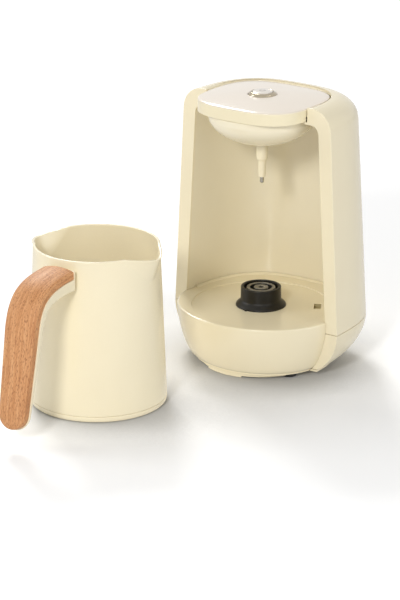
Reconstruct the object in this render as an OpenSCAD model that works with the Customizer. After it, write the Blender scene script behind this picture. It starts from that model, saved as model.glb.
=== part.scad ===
// Electric Turkish coffee maker: power base with a jug niche, top-mounted
// control head with a sensing probe, and a separate cordless jug with a
// wooden grip. Millimetres. +Z is up, -Y is the front. The origin is on the
// axis of the round connector, at table level.

/* [Machine shell] */
// half width of the shell at its widest level
half_w = 82.8; // [70:0.1:95]
// distance from the axis to the back of the shell at its widest level
back_d = 82.5; // [70:0.5:95]
// distance from the axis forward to the flat front frame
face_d = 9.5; // [5:0.5:20]
// height of the seam between the cover and the lower housing
belt_z = 39.6; // [30:0.2:50]
// height of the shell's top surface
top_z = 229.2; // [200:0.2:260]
// half width lost per mm of height above the seam
side_taper = 0.054; // [0:0.001:0.1]
// back depth lost per mm of height above the seam
back_taper = 0.045; // [0:0.001:0.1]
// radius of the shoulders
shoulder_r = 18.8; // [10:0.2:30]
// radius of the top edge at the back
crest_r = 23.5; // [10:0.5:40]
// radius of the lower housing's turned-in side
tuck_r = 39.5; // [30:0.5:60]
// plastic wall thickness of the shell
wall = 2.4; // [1.6:0.1:4]
// how much more the back turns in than the sides
tuck_k = 1.7; // [1:0.05:2.5]
// exponent of the rounded plan of the shell
plan_n = 3.0; // [2:0.1:5]

/* [Niche and frame] */
// half width of the niche at the plate
niche_w = 70.5; // [60:0.1:80]
// half width lost per mm of height in the niche
niche_taper = 0.0570; // [0:0.0005:0.1]
// depth of the niche behind the axis, at the plate
niche_back = 75.0; // [60:0.5:85]
// depth lost per mm of height at the back of the niche
niche_back_taper = 0.060; // [0:0.001:0.1]
// depth of the niche's ceiling below the shell's top
ceil_drop = 14.2; // [11:0.2:20]
// thickness of the ceiling
ceil_t = 2.2; // [1.5:0.1:4]
// wall thickness of the niche's liner
liner_t = 2.2; // [1.5:0.1:4]
// thickness of the front frame, front to back
frame_t = 2.3; // [1.5:0.1:5]

/* [Base] */
// height of the lower housing's bottom edge
low_z = 6.0; // [4:0.1:10]
// height of the plate's top
plate_z = 49.2; // [40:0.2:60]
// half width of the bowl at its top edge
bowl_w = 73.0; // [60:0.5:80]
// radius of the seat recess
seat_r = 58.4; // [50:0.2:65]
// depth of the seat recess
seat_dip = 1.0; // [0.4:0.1:2]
// radius of the foot ring
foot_ring_r = 50.5; // [40:0.5:60]

/* [Connector] */
// radius of the connector's boss
boss_r = 17.0; // [12:0.1:20]
// height of the boss above the plate
boss_h = 15.7; // [10:0.1:20]
// thickness of the boss's outer wall
boss_wall = 2.6; // [1.5:0.1:4]
// width of the grooves between the boss's contacts
groove_w = 2.2; // [1:0.1:4]
// depth of the grooves
groove_deep = 6.0; // [3:0.1:9]
// width of the ring contact
ring_w = 3.8; // [2:0.1:5]
// radius of the hole in the middle contact
pin_bore = 2.1; // [1:0.1:3]
// depth of the connector's housing below the plate
housing_deep = 16.1; // [12:0.1:22]

/* [Head] */
// half width of the lid
lid_w = 50.0; // [40:0.5:60]
// half depth of the lid
lid_d = 47.0; // [40:0.5:60]
// depth of the lid's edge below the shell's top
lid_drop = 1.0; // [0:0.1:3]
// rise of the lid from its edge to its middle
lid_crown = 3.1; // [0:0.1:6]
// radius of the domed under-cover
dome_r = 44.6; // [40:0.1:50]
// depth of the dome below the niche's ceiling
dome_h = 27.9; // [20:0.1:35]
// length of the probe below the dome
probe_l = 32.0; // [20:0.5:45]
// length of bare steel at the probe's end
probe_bare = 5.3; // [2:0.1:10]
// radius of the probe's steel rod
probe_r = 1.7; // [1:0.1:3]
// radius of the button
button_r = 8.4; // [6:0.1:12]
// travel of the button
button_travel = 1.2; // [0.5:0.1:3]

/* [Jug] */
// outer radius of the jug at its seam
jug_r = 56.0; // [45:0.1:60]
// outer radius of the jug at its rim
jug_rim_r = 51.0; // [40:0.1:60]
// height of the jug's rim
jug_h = 133.4; // [100:0.2:160]
// wall thickness of the jug
jug_wall = 2.3; // [1.5:0.1:4]
// how far the grip stands off the jug's side
grip_out = 55.2; // [40:0.1:65]
// how far the two spouts stand out of the rim
spout_out = 8.0; // [2:0.1:12]
// how far the tips of the spouts dip below the rim
spout_dip = 4.2; // [0:0.1:8]
// height over which a spout fades into the wall
spout_h = 27.0; // [15:0.5:40]
// half of the rim's turn that a spout takes up, in degrees
spout_half = 36; // [20:1:45]
// height of the heating plate's top
floor_z = 30.0; // [25:0.5:40]
// distance of the heating element's ring from the jug's inner wall
element_in = 16.3; // [10:0.1:25]
// radius of the heating element's tube
element_r = 3.1; // [2:0.1:5]
// where the jug stands: to the right of the connector's axis
jug_x = -53.0; // [-120:0.1:120]
// where the jug stands: behind the connector's axis
jug_y = -155.3; // [-200:0.1:0]
// turn of the jug on the table, in degrees
jug_turn = 5.3; // [-180:0.1:180]
// width of the wooden grip at the jug
grip_w = 28.0; // [20:0.5:34]
// half width that the grip loses toward its end
grip_slim = 1.9; // [0:0.1:4]
// thickness of the wooden grip at its edges
grip_t = 6.2; // [4:0.1:12]
// rise of the wood's outer face from its edges to its middle
grip_crown = 2.2; // [0:0.1:4]
// how far the wood's outer edges are rounded off
grip_edge = 1.2; // [0:0.1:3]
// height of the grip's lower end
grip_low = 16.0; // [5:0.5:30]
// width of the handle's edge that shows round the wood
grip_lip = 0.8; // [0.3:0.1:2]

/* [Hidden] */
$fn = 64;

cream = "#F1E6C6";
dark = "#33302A";
steel = "#C9C9C6";

// clearance between pieces that meet without a fit
gap = 0.3;
// y of the widest level of the shell's plan, and of the lid's middle
plan_y0 = -20.9;
lid_y0 = 2.0;
// radius of the niche's upper edge
niche_r = 7;
ceil_z = top_z - ceil_drop;
lid_z = top_z - lid_drop;
lid_mid = lid_z + lid_crown;
skirt_z = ceil_z + ceil_t + gap;
pan_z = skirt_z + gap;
pan_t = 1.6;
dome_z = ceil_z - dome_h;
head_board_z = pan_z + pan_t + 1.6;
seat_z = plate_z - seat_dip;
zs = top_z - shoulder_r;
zc = top_z - crest_r;
cover_y = -face_d + frame_t;

// ---- shared curves -------------------------------------------------------
function sgn_pow(v, e) = v < 0 ? -pow(-v, e) : pow(v, e);
function drop(r, u) = r - sqrt(max(r*r - min(u, r)*min(u, r), 0));
// side half-width and back depth of the shell, drawn in by t
function shell_w(z, t=0) =
  z < belt_z ? half_w - t - drop(tuck_r, belt_z - z)
  : half_w - side_taper*(min(z, zs) - belt_z) - t - (z > zs ? drop(shoulder_r - t, z - zs) : 0);
function shell_b(z, t=0) =
  z < belt_z ? back_d - t - tuck_k*drop(tuck_r, belt_z - z)
  : back_d - back_taper*(min(z, zc) - belt_z) - t - (z > zc ? drop(crest_r - t, z - zc) : 0);
// point at turn u (0 right front .. 1 left front) on a rounded plan open to the front
function plan_u0(b, y0, y, n) = asin(max(min(sgn_pow((y - y0)/b, n/2), 1), -1));
function plan_pt(u, a, b, y0, y, n) =
  let (t0 = plan_u0(b, y0, y, n), t = t0 + (180 - 2*t0)*u)
  [a*sgn_pow(cos(t), 2/n), y0 + b*sgn_pow(sin(t), 2/n)];
function shell_pt(u, z, t=0, y=cover_y) =
  let (p = plan_pt(u, shell_w(z, t), shell_b(z, t) - plan_y0, plan_y0, y, plan_n)) [p[0], p[1], z];
// the niche, grown by t
function niche_w_at(z) = niche_w - niche_taper*(z - plate_z);
function niche_b_at(z) = niche_back - niche_back_taper*(z - plate_z);
function niche_pt(u, z, t=0, y=cover_y) =
  let (c = z > ceil_z - niche_r ? drop(niche_r, z - ceil_z + niche_r) : 0,
       w = niche_w_at(z) + t - c,
       b = niche_b_at(z) + t - c - plan_y0,
       p = plan_pt(u, w, b, plan_y0, y, plan_n))
  [p[0], p[1], z];
// the lid's plan, grown by t
function lid_pt(u, z, t=0, y=cover_y) =
  let (p = plan_pt(u, lid_w + t, lid_d + t, lid_y0, y, plan_n)) [p[0], p[1], z];
function lid_ring(s, t=0, n=96) = [for (i = [0:n-1]) let (a = 360*i/n)
  [s*(lid_w + t)*sgn_pow(cos(a), 2/plan_n), lid_y0 + s*(lid_d + t)*sgn_pow(sin(a), 2/plan_n)]];
// the bowl's half width, from its top edge down to the foot
bowl_low_z = low_z - 0.2;
bowl_low_w = 58.0;
function bowl_w_at(z) = let (q = min(max((plate_z - z)/(plate_z - bowl_low_z), 0), 1))
  bowl_low_w + (bowl_w - bowl_low_w)*pow(1 - pow(q, 1.65), 1/1.65);
bowl_k = 0.90;

// a skin through equal loops of points; wrap joins the last loop to the first
module skin(S, wrap=false) {
  m = len(S);
  k = len(S[0]);
  pts = [for (s = S) for (p = s) p];
  side = [for (j = [0:(wrap ? m - 1 : m - 2)]) for (i = [0:k-1])
    let (a = j*k + i, b = j*k + (i + 1)%k, c = ((j + 1)%m)*k + (i + 1)%k, d = ((j + 1)%m)*k + i)
    each [[a, b, c], [a, c, d]]];
  caps = wrap ? [] : [[for (i = [0:k-1]) k - 1 - i], [for (i = [0:k-1]) (m - 1)*k + i]];
  polyhedron(points = pts, faces = concat(side, caps), convexity = 10);
}

// ---- shell ---------------------------------------------------------------
cover_n = 60;
cover_lv = concat([belt_z + 0.2], [for (a = [0:10:90]) zc + crest_r*sin(a)]);
cover_in = concat([belt_z + 0.2], [for (a = [0:15:90]) zc + (crest_r - wall)*sin(a)]);

module outer_cover() {
  color(cream)
  skin([for (j = [0:cover_n]) let (u = j/cover_n) concat(
    [for (z = cover_lv) shell_pt(u, z)],
    [lid_pt(u, top_z - 0.1, 0.9), lid_pt(u, top_z - 0.5, 0.4), lid_pt(u, top_z - wall, 0.4)],
    [for (i = [len(cover_in)-1:-1:0]) shell_pt(u, cover_in[i], wall)])]);
}

// level where the niche's upper edge begins to turn in
ceil_low = ceil_z - niche_r;

// one side of the front frame, as seen from the front
function frame_side() = concat(
  [for (z = [belt_z + 0.2, zs]) [shell_w(z), z]],
  [for (a = [9:9:90]) let (z = zs + shoulder_r*sin(a)) [shell_w(z), z]],
  [[lid_w + 0.9, top_z - 0.1], [lid_w + 0.35, top_z - 0.5], [lid_w + 0.35, skirt_z - gap],
   [lid_w - 3.3, skirt_z - gap], [lid_w - 3.3, ceil_z]],
  [for (a = [90:-15:0]) let (z = ceil_z - niche_r + niche_r*sin(a))
    [niche_w_at(z) - niche_r + niche_r*cos(a), z]],
  [[niche_w_at(belt_z + 0.2), belt_z + 0.2]]);

module front_frame() {
  color(cream) difference() {
    union() {
      for (m = [0, 1]) mirror([m, 0, 0]) translate([0, cover_y, 0]) rotate([90, 0, 0])
        linear_extrude(frame_t) polygon(frame_side());
      translate([0, 0, ceil_z]) linear_extrude(ceil_t) polygon(concat(
        [[niche_w_at(ceil_low) + 1, -face_d], [-niche_w_at(ceil_low) - 1, -face_d]],
        [for (j = [56:-1:0]) let (p = niche_pt(j/56, ceil_low, 1.2)) [p[0], p[1]]]));
    }
    translate([0, 0, ceil_z - 1]) cylinder(r = dome_r + 0.35, h = 6, $fn = 96);
  }
}

module niche_liner() {
  color(cream)
  skin([for (j = [0:48]) let (u = j/48) concat(
    [for (z = [plate_z - 3.2, ceil_low]) niche_pt(u, z, liner_t)],
    [niche_pt(u, ceil_low, liner_t - 0.2) + [0, 0, niche_r - 0.05]],
    [for (a = [90:-22.5:0]) niche_pt(u, ceil_low - 0.05 + niche_r*sin(a))],
    [niche_pt(u, plate_z - 3.2)])]);
}

// height, hole and recess of the cord gland in the housing's back
gland_z = 26;
gland_hole_r = 5.9;
gland_recess_r = 8.7;
low_n = 60;
// levels of the housing's loops, from its lower edge to the seam
low_share = [0, 0.045, 0.105, 0.21, 0.33, 0.464, 0.614, 0.778, 1];
low_lv = [for (k = low_share) low_z + k*(belt_z - 0.2 - low_z)];
module lower_housing() {
  color(cream) difference() {
    union() {
      skin([for (j = [0:low_n]) let (u = j/low_n) concat(
        [for (z = low_lv) shell_pt(u, z)],
        [for (i = [len(low_lv)-1:-2:0]) shell_pt(u, low_lv[i], wall)])]);
      for (m = [0, 1]) mirror([m, 0, 0]) translate([0, cover_y, 0]) rotate([90, 0, 0])
        linear_extrude(frame_t) polygon(concat(
          [for (z = low_lv) [shell_w(z), z]],
          [for (i = [len(low_lv)-1:-1:0]) [0.985*bowl_w_at(low_lv[i]) - 1.4, low_lv[i]]]));
    }
    translate([0, 50, gland_z]) rotate([-90, 0, 0]) cylinder(r = gland_hole_r, h = 60);
    translate([0, shell_b(gland_z) - 0.4, gland_z]) rotate([-90, 0, 0]) cylinder(r = gland_recess_r, h = 20);
  }
}

// ---- base ----------------------------------------------------------------
bowl_lv = concat([bowl_low_z, 8, 11, 15, 20, 26, 33, 41], [plate_z - 1.5]);
// point at turn u (0 left .. 1 right) round the bowl's front, ending at the frame
function bowl_pt(u, z, t=0) =
  let (w = bowl_w_at(z) - t,
       e = asin((face_d + 0.2)/(w*bowl_k)),
       a = 180 + e + (180 - 2*e)*u)
  [w*cos(a), w*bowl_k*sin(a), z];
// height of the ledge where the niche's wall meets the plate
ledge_h = 1.4;
// the drain slot: corner, width and depth
drain = [40, 19, 6, 6.5];

module seat_bowl() {
  color(cream) difference() {
    union() {
      skin([for (j = [0:64]) let (u = j/64) concat(
        [for (z = bowl_lv) bowl_pt(u, z)],
        [bowl_pt(u, plate_z - 0.45, 0.45), bowl_pt(u, plate_z, 1.5), bowl_pt(u, plate_z, 4)],
        [bowl_pt(u, plate_z - 3, 4)],
        [for (z = [41, 33, 26, 20, 15, 11, 8, bowl_low_z]) bowl_pt(u, z, 2.4)])]);
      translate([0, 0, plate_z - 3]) linear_extrude(3) polygon(concat(
        [for (j = [0:40]) let (p = niche_pt(j/40, plate_z, -0.3, -face_d - 1)) [p[0], p[1]]],
        [for (j = [0:40]) let (p = bowl_pt(j/40, plate_z, 2.5)) [p[0], p[1]]]));
      skin([for (j = [0:40]) let (u = j/40) [
        niche_pt(u, plate_z - 0.5, -0.3, 2),
        niche_pt(u, plate_z + ledge_h, -0.35, 2),
        niche_pt(u, plate_z + ledge_h, -2.2, 2),
        niche_pt(u, plate_z - 0.5, -4.2, 2)]]);
    }
    translate([0, 0, seat_z]) cylinder(r = seat_r, h = 5, $fn = 96);
    translate([0, 0, plate_z - 5]) cylinder(r = boss_r + 1.8, h = 10);
    translate([drain[0], drain[1], plate_z - 5]) cube([drain[2], drain[3], 10]);
  }
}

board_posts = [[-26, 20], [26, 20], [-26, 42], [26, 42]];
base_posts = [[-36, -12], [36, -12]];
module base_plate() {
  color(cream) difference() {
    union() {
      translate([0, 0, 1.6]) cylinder(r = foot_ring_r, h = 4.1, $fn = 96);
      translate([0, 0, 4.2]) linear_extrude(1.5) polygon(concat(
        [for (j = [0:40]) let (p = shell_pt(j/40, low_z, 0.4, -face_d - 0.2)) [p[0], p[1]]],
        [for (j = [0:40]) let (p = bowl_pt(j/40, bowl_low_z, 0.4)) [p[0], p[1]]]));
      // front lip that reaches lower than the ring
      intersection() {
        translate([0, 0, 0.4]) cylinder(r = foot_ring_r, h = 4, $fn = 96);
        translate([0, 0, -1]) linear_extrude(20) polygon([[0, 0], [-46, -99], [30, -104]]);
      }
      for (p = board_posts) translate([p[0], p[1], 5]) cylinder(r = 3.2, h = power_z - 5.05);
      for (p = base_posts) translate([p[0], p[1], 5]) cylinder(r = 4, h = plate_z - 8.5);
    }
    // hollow behind the ring
    difference() {
      translate([0, 0, -0.4]) cylinder(r = foot_ring_r - 2.6, h = 4.6);
      for (p = foot_at) translate([p[0], p[1], -1]) cylinder(r = 8, h = 6);
      for (p = base_posts) translate([p[0], p[1], -1]) cylinder(r = 5.4, h = 6);
    }
    for (p = foot_at) translate([p[0], p[1], -1]) cylinder(r = 6.3, h = 4.2);
    for (p = board_posts) translate([p[0], p[1], 8]) cylinder(r = 1.2, h = 8);
    for (p = base_posts) translate([p[0], p[1], -1]) {
      cylinder(r = 1.75, h = 60);
      cylinder(r = 3.6, h = 8);
    }
    for (a = [0:30:330]) rotate(a) translate([22, -1.25, 0]) cube([10, 2.5, 9]);
  }
}

foot_at = [[42.6, -19.5], [-42.6, -19.5], [28, 37.5], [-28, 37.5]];
module rubber_foot(i) {
  color(dark) translate([foot_at[i][0], foot_at[i][1], 0]) rotate_extrude()
    polygon([[0, 0], [5.6, 0], [6.2, 0.6], [6.2, 3.15], [0, 3.15]]);
}
module foot_front_right() { rubber_foot(0); }
module foot_front_left() { rubber_foot(1); }
module foot_rear_right() { rubber_foot(2); }
module foot_rear_left() { rubber_foot(3); }

// height of the screws' heads, in the posts
screw_z = 4.4;
module base_screws() {
  color(steel) for (p = base_posts) translate([p[0], p[1], screw_z]) {
    difference() {
      cylinder(r = 3.2, h = 2.5);
      translate([0, 0, -1]) cylinder(r = 1.3, h = 2.4, $fn = 6);
    }
    cylinder(r = 1.65, h = plate_z - screw_z - 6.6);
  }
}

// ---- connector -----------------------------------------------------------
boss_top = plate_z + boss_h;
groove_top = boss_top - groove_deep;
groove_z = groove_top - 1.2;
ring_out = boss_r - boss_wall - groove_w;
ring_r = [ring_out - ring_w, ring_out];
pin_r = [pin_bore, ring_out - ring_w - groove_w];
// section of the boss's foot flange and side, from below to the rim
function boss_side(z0) = [
  [boss_r + 1.4, plate_z - 6.8], [boss_r + 1.4, z0], [boss_r + 4.2, z0],
  [boss_r + 4.2, z0 + 1.0], [boss_r + 3.0, z0 + 1.8], [boss_r + 1.2, z0 + 4.2],
  [boss_r + 0.4, z0 + 6.4], [boss_r, boss_top - 3], [boss_r - 0.1, boss_top - 0.5],
  [boss_r - 0.6, boss_top]];
// section of the top: the outer wall, the seats of the contacts and the grooves
boss_inside = [
  [boss_r - 2.1, boss_top], [boss_r - 2.4, boss_top - 0.4],
  [boss_r - 2.5, groove_top], [ring_r[1] + 0.1, groove_top], [ring_r[1] + 0.05, groove_z],
  [ring_r[0] - 0.05, groove_z], [ring_r[0] - 0.1, groove_top], [pin_r[1] + 0.1, groove_top],
  [pin_r[1] + 0.05, groove_z], [pin_bore - 0.5, groove_z], [pin_bore - 0.5, groove_z - 3.8],
  [boss_r - boss_wall, groove_z - 3.8], [boss_r - boss_wall, plate_z - 6.8]];
module connector_boss() {
  z0 = seat_z + 0.02;
  color(dark) {
    rotate_extrude($fn = 96) polygon(concat(boss_side(z0), boss_inside));
    rotate(-118) translate([boss_r + 2.8, -1.1, z0]) cube([2.6, 2.2, 1.1]);
  }
}
module contact_tube(r0, r1, top) {
  z0 = groove_z + 0.05;
  color(steel) rotate_extrude($fn = 96)
    polygon([[r0, z0], [r1, z0], [r1, top - 0.3], [r1 - 0.3, top], [r0 + 0.3, top], [r0, top - 0.3]]);
}
module contact_ring() { contact_tube(ring_r[0], ring_r[1], boss_top - 0.9); }
module contact_pin() { contact_tube(pin_r[0], pin_r[1], boss_top - 1.0); }
module connector_base() {
  top = plate_z - 3.1;
  color("#DAD7CF") difference() {
    union() {
      translate([0, 0, top - housing_deep]) cylinder(r = boss_r + 5, h = housing_deep);
      for (a = [0, 120, 240]) rotate(a + 30) translate([boss_r + 7, 0, top - 3.5]) cylinder(r = 5, h = 3.5);
    }
    translate([0, 0, top - housing_deep + 2.5]) cylinder(r = boss_r + 1.6, h = 20);
    for (x = [-8, 8]) translate([x, 0, top - housing_deep - 4]) cylinder(r = 1.6, h = 20);
  }
}

// ---- electrics -----------------------------------------------------------
power_z = 14.05;
power_size = [62, 31, 1.6];
power_y = 16;
power_top = power_z + power_size[2];
module power_board() {
  color("#2F5B3A") difference() {
    translate([-power_size[0]/2, power_y, power_z]) cube(power_size);
    for (p = board_posts) translate([p[0], p[1], power_z - 4]) cylinder(r = 1.3, h = 8);
  }
}
module on_board(x, y) { translate([x, power_y + y, power_top + 0.05]) children(); }
module relay() { color("#2B4C8C") on_board(-20, 8) cube([19, 15.5, 12]); }
module transformer() {
  color("#8A6B3D") on_board(6, 8) {
    cube([15, 16, 3]);
    translate([1.5, 3, 2.9]) cube([12, 10, 9]);
    translate([0, 0, 11.8]) cube([15, 16, 2]);
  }
}
module filter_capacitor() { color("#2A2A2E") on_board(-26, 17) cylinder(r = 4, h = 13); }
// the ribbon runs up behind the liner, and over the ceiling to the head's board
ribbon_t = 0.6;
ribbon_w = 12;
ribbon_x = 10;
module ribbon_cable() {
  e = power_y + power_size[1];
  y0 = niche_b_at(46) + liner_t + 0.7;
  y1 = niche_b_at(ceil_z - 15) + liner_t + 0.9;
  y2 = niche_b_at(ceil_low) + 1.6;
  low = head_board_z - 1.1;
  inner = [
    [e + 4, power_top + 0.1], [e + 13, power_top + 5.4], [y0 - 3.2, belt_z - 2.6], [y0, 46],
    [y1, ceil_z - 15], [y2 + 1.9, ceil_z - 4.2], [y2, pan_z - 1.1], [y2 - 2.3, low], [18, low]];
  outer = [
    [18, low + ribbon_t], [y2 - 2.0, low + ribbon_t], [y2 + 0.6, pan_z - 0.9], [y2 + 2.5, ceil_z - 4],
    [y1 + ribbon_t, ceil_z - 15], [y0 + ribbon_t, 46], [y0 - 2.6, belt_z - 2.8],
    [e + 13.4, power_top + 4.9]];
  color("#B9B6AE") translate([ribbon_x, 0, 0]) {
    rotate([90, 0, 90]) linear_extrude(ribbon_w) polygon(concat(inner, outer));
    translate([0, e - 6.5, power_top + 0.05]) cube([ribbon_w, 10.7, 0.8]);
  }
}
module cord_gland() {
  back = shell_b(gland_z);
  color(dark) translate([0, 0, gland_z]) rotate([-90, 0, 0]) difference() {
    union() {
      translate([0, 0, back - 16]) cylinder(r = gland_hole_r - gap, h = 17);
      translate([0, 0, back - 0.2]) cylinder(r1 = gland_recess_r - gap, r2 = gland_recess_r - 1.3, h = 3);
      translate([0, 0, back - 16]) cylinder(r = 7.6, h = 2.6);
    }
    translate([0, 0, 40]) cylinder(r = 3.4, h = 60);
  }
}

// ---- head ----------------------------------------------------------------
// the dome's height over its lowest point, at angle a from the axis
function dome_rise(a) = (dome_h - 2.5)*(1 - pow(cos(a), 1.15));
dome_curve = [for (a = [90:-7.5:0]) [dome_r*sin(a), dome_z + dome_rise(a)]];
dome_inner = [for (a = [0:15:90]) [(dome_r - 2.2)*sin(a), dome_z + 2 + dome_rise(a)]];
dome_collar = [
  [dome_r - 4, pan_z + 0.2], [dome_r - 2.4, pan_z + 0.2], [dome_r - 2.4, skirt_z - gap],
  [dome_r, skirt_z - gap], [dome_r, ceil_z - 2]];
module head_pan() {
  color(cream) difference() {
    union() {
      translate([0, 0, pan_z]) linear_extrude(pan_t) polygon(lid_ring(1, -2.6));
      rotate_extrude($fn = 96) polygon(concat(dome_collar, dome_curve, dome_inner));
      cylinder_between(6.4, dome_z + 0.6, dome_z + 12);
    }
    translate([0, 0, dome_z - 2]) cylinder(r = 3.2, h = 40);
    translate([0, 0, ceil_z + 2]) cylinder(r = dome_r - 4, h = 10);
  }
}
module cylinder_between(r, z0, z1) { translate([0, 0, z0]) cylinder(r = r, h = z1 - z0); }
// the sleeve's outer side, as [radius, share of its length below the dome]
sleeve_side = [[3.3, 0.285], [3.6, 0.491], [4.1, 0.596], [4.5, 0.678]];
module probe_sleeve() {
  long = probe_l - probe_bare;
  s0 = dome_z - long;
  color(cream) difference() {
    rotate_extrude() polygon(concat(
      [[0, s0], [3.0, s0], [3.2, s0 + 0.8]],
      [for (p = sleeve_side) [p[0], s0 + p[1]*long]],
      [[4.75, dome_z - 0.4], [4.75, dome_z - 0.05], [3.15, dome_z - 0.05]],
      [[3.15, dome_z + 12.4], [0, dome_z + 12.4]]));
    translate([0, 0, dome_z - probe_l - 5]) cylinder(r = probe_r + 0.05, h = probe_l + 30);
  }
}
module probe_tip() {
  t0 = dome_z - probe_l;
  t1 = dome_z + 14;
  color(steel) rotate_extrude()
    polygon([[0, t0], [probe_r - 0.5, t0], [probe_r, t0 + 0.6], [probe_r, t1], [0, t1]]);
}
head_board = [58, 44, 1.5];
switch_z = head_board_z + head_board[2];
module control_board() {
  color("#2F5B3A") translate([-head_board[0]/2, -head_board[1]/2 + 2, head_board_z]) cube(head_board);
}
module switch_body() {
  color("#3A3A3C") difference() {
    translate([-6, -6, switch_z]) cube([12, 12, 3.7]);
    translate([0, 0, switch_z + 0.8]) cylinder(r = 3.6, h = 6);
  }
}
module switch_plunger() {
  color("#D8D4CC") cylinder_between(3.2, switch_z + 0.8 + button_travel + 0.5, lid_mid - 3.4);
}

function lid_top(s) = lid_z + lid_crown*(1 - s*s);
lid_s = [0.24, 0.45, 0.65, 0.82, 0.93, 0.98];
module lid_panel() {
  n = 80;
  hole_r = collar_r + gap;
  function ring(s, t, z) = [for (p = lid_ring(s, t, n)) [p[0], p[1], z]];
  function hole(z) = [for (i = [0:n-1]) [hole_r*cos(360*i/n), hole_r*sin(360*i/n), z]];
  // rings run from the skirt's foot up over the top to the middle, then back under
  R = concat(
    [ring(1, 0, skirt_z), ring(1, 0, lid_z - 1.0), ring(1, -0.35, lid_z - 0.3)],
    [for (i = [5:-1:1]) ring(lid_s[i], 0, lid_top(lid_s[i]))],
    [hole(lid_top(0.24)), hole(lid_top(0.24) - 2.2)],
    [for (i = [2:2:4]) ring(lid_s[i], 0, lid_top(lid_s[i]) - 2.2)],
    [ring(1, -2.2, lid_z - 2.4), ring(1, -2.2, skirt_z)]);
  color("#EFE7D6") difference() {
    skin([for (j = [0:n-1]) [for (r = R) r[j]]], wrap = true);
    translate([-80, cover_y - frame_t - gap, 0]) cube([160, 100, head_board_z + 0.5]);
  }
}
collar_r = button_r + 3.5;
module button_collar() {
  color(steel) rotate_extrude($fn = 96) polygon([
    [button_r + 0.35, lid_mid - 3.3], [button_r + 1.5, lid_mid - 3.3], [collar_r, lid_mid - 2.3],
    [collar_r, lid_mid - 0.4], [collar_r - 0.55, lid_mid + 0.2], [collar_r - 1.0, lid_mid + 1.1],
    [collar_r - 2.2, lid_mid + 1.9], [button_r + 0.6, lid_mid + 2.0], [button_r + 0.35, lid_mid + 1.6]]);
}
module button_cap() {
  color("#F4EFE4") rotate_extrude($fn = 96) polygon([
    [0, lid_mid - 3.35], [3.0, lid_mid - 3.35], [3.0, lid_mid - 0.9],
    [button_r - 1.4, lid_mid - 0.9], [button_r - 1.4, lid_mid - 2.9], [button_r, lid_mid - 2.9],
    [button_r, lid_mid + 1.9], [button_r - 0.5, lid_mid + 2.4], [5, lid_mid + 2.75], [0, lid_mid + 2.85]]);
}

// ---- jug -----------------------------------------------------------------
module at_jug() { translate([jug_x, jug_y, 0]) rotate(jug_turn) children(); }
seam_z = 5.2;
function jug_r_at(z) = jug_r - (jug_r - jug_rim_r)*(z - seam_z)/(jug_h - seam_z);
jug_in = jug_r_at(floor_z) - jug_wall;
// how far a spout reaches at height z: 0 at its foot, 1 at the rim
function spout_v(z) = max((z - jug_h + spout_h)/spout_h, 0);
// how strongly it shows at angle a and reach v: 1 at its rounded ridge, 0 outside it
function spout_g(a, v) =
  let (d = min(abs(a % 180), 180 - abs(a % 180)), half = spout_half*v + 0.001, r = 4*v,
       e = (norm([d, r]) - r)/(norm([half, r]) - r))
  e > 1 ? 0 : pow(1 - e, 2.4);
// point on the jug's wall at angle a and height z, drawn in by t
function jug_pt(a, z, t, top=false) =
  let (v = min(spout_v(z), 1),
       g = spout_g(a, top ? 1 : v),
       r = jug_r_at(min(z, jug_h)) - t + spout_out*g*v)
  [r*cos(a), r*sin(a), z - spout_dip*g*pow(v, 3)];
function around(a, r, z) = [r*cos(a), r*sin(a), z];
// angles of the wall's columns, closer together at a spout
spout_ang = concat([for (a = [-36:3:-6]) a], [-4, -2, 0, 2, 4], [for (a = [6:3:36]) a]);
jug_ang = [for (k = [0, 180]) each concat([for (a = spout_ang) a + k], [for (a = [46:8.8:134]) a + k])];
// the wall's section at angle a: outside, rim, inside, and the seat of the heating plate
function jug_section(a) =
  let (w = jug_wall, foot = seam_z + 0.15, rim = jug_h - 0.9, seat = jug_in - 4.9) concat(
    [jug_pt(a, foot, 0)],
    [for (z = spout_lv) jug_pt(a, z, 0)],
    [jug_pt(a, rim, 0, true), jug_pt(a, jug_h, 0.8, true)],
    [jug_pt(a, jug_h, w - 0.7, true), jug_pt(a, rim, w, true)],
    [for (z = rev(spout_lv)) jug_pt(a, z, w)],
    [jug_pt(a, floor_z + 0.1, w), around(a, seat, floor_z + 0.1), around(a, seat, floor_z - 1.6)],
    [around(a, seat + 1.6, floor_z - 3.4), around(a, jug_in, floor_z - 4.4), jug_pt(a, foot, w)]);
spout_lv = [for (k = [0:5]) jug_h - spout_h*(1 - k/6)];
module jug_body() {
  color(cream) at_jug() skin([for (a = jug_ang) jug_section(a)], wrap = true);
}
// radius of the socket's well and height of its roof over the table
sock_r = boss_r + 8.3;
sock_z = boss_h + seat_dip + 0.7;
module jug_base_cover() {
  in = jug_r - jug_wall - 0.4;
  color(cream) at_jug() rotate_extrude($fn = 96) polygon([
    [sock_r + gap, 0.8], [sock_r + 0.9, 0], [jug_r - 2.9, 0], [jug_r - 1.4, 0.6],
    [jug_r - 0.4, 1.7], [jug_r, 3.2], [jug_r, seam_z], [in, seam_z], [in, seam_z + 2.3],
    [in - 1.6, seam_z + 2.3], [in - 1.6, 2.2], [sock_r + gap, 2.2]]);
}
module jug_socket() {
  roof = sock_z + 2.8;
  color(dark) at_jug() rotate_extrude($fn = 96) polygon([
    [boss_r + 5.6, 0.6], [sock_r, 0.6], [sock_r, 2.3], [sock_r + 4.7, 2.3], [sock_r + 4.7, 4.3],
    [sock_r, 4.3], [sock_r, roof], [3.0, roof], [3.0, sock_z],
    [boss_r + 0.9, sock_z], [boss_r + 0.9, 6.6], [boss_r + 5.6, 3.2]]);
}
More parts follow.
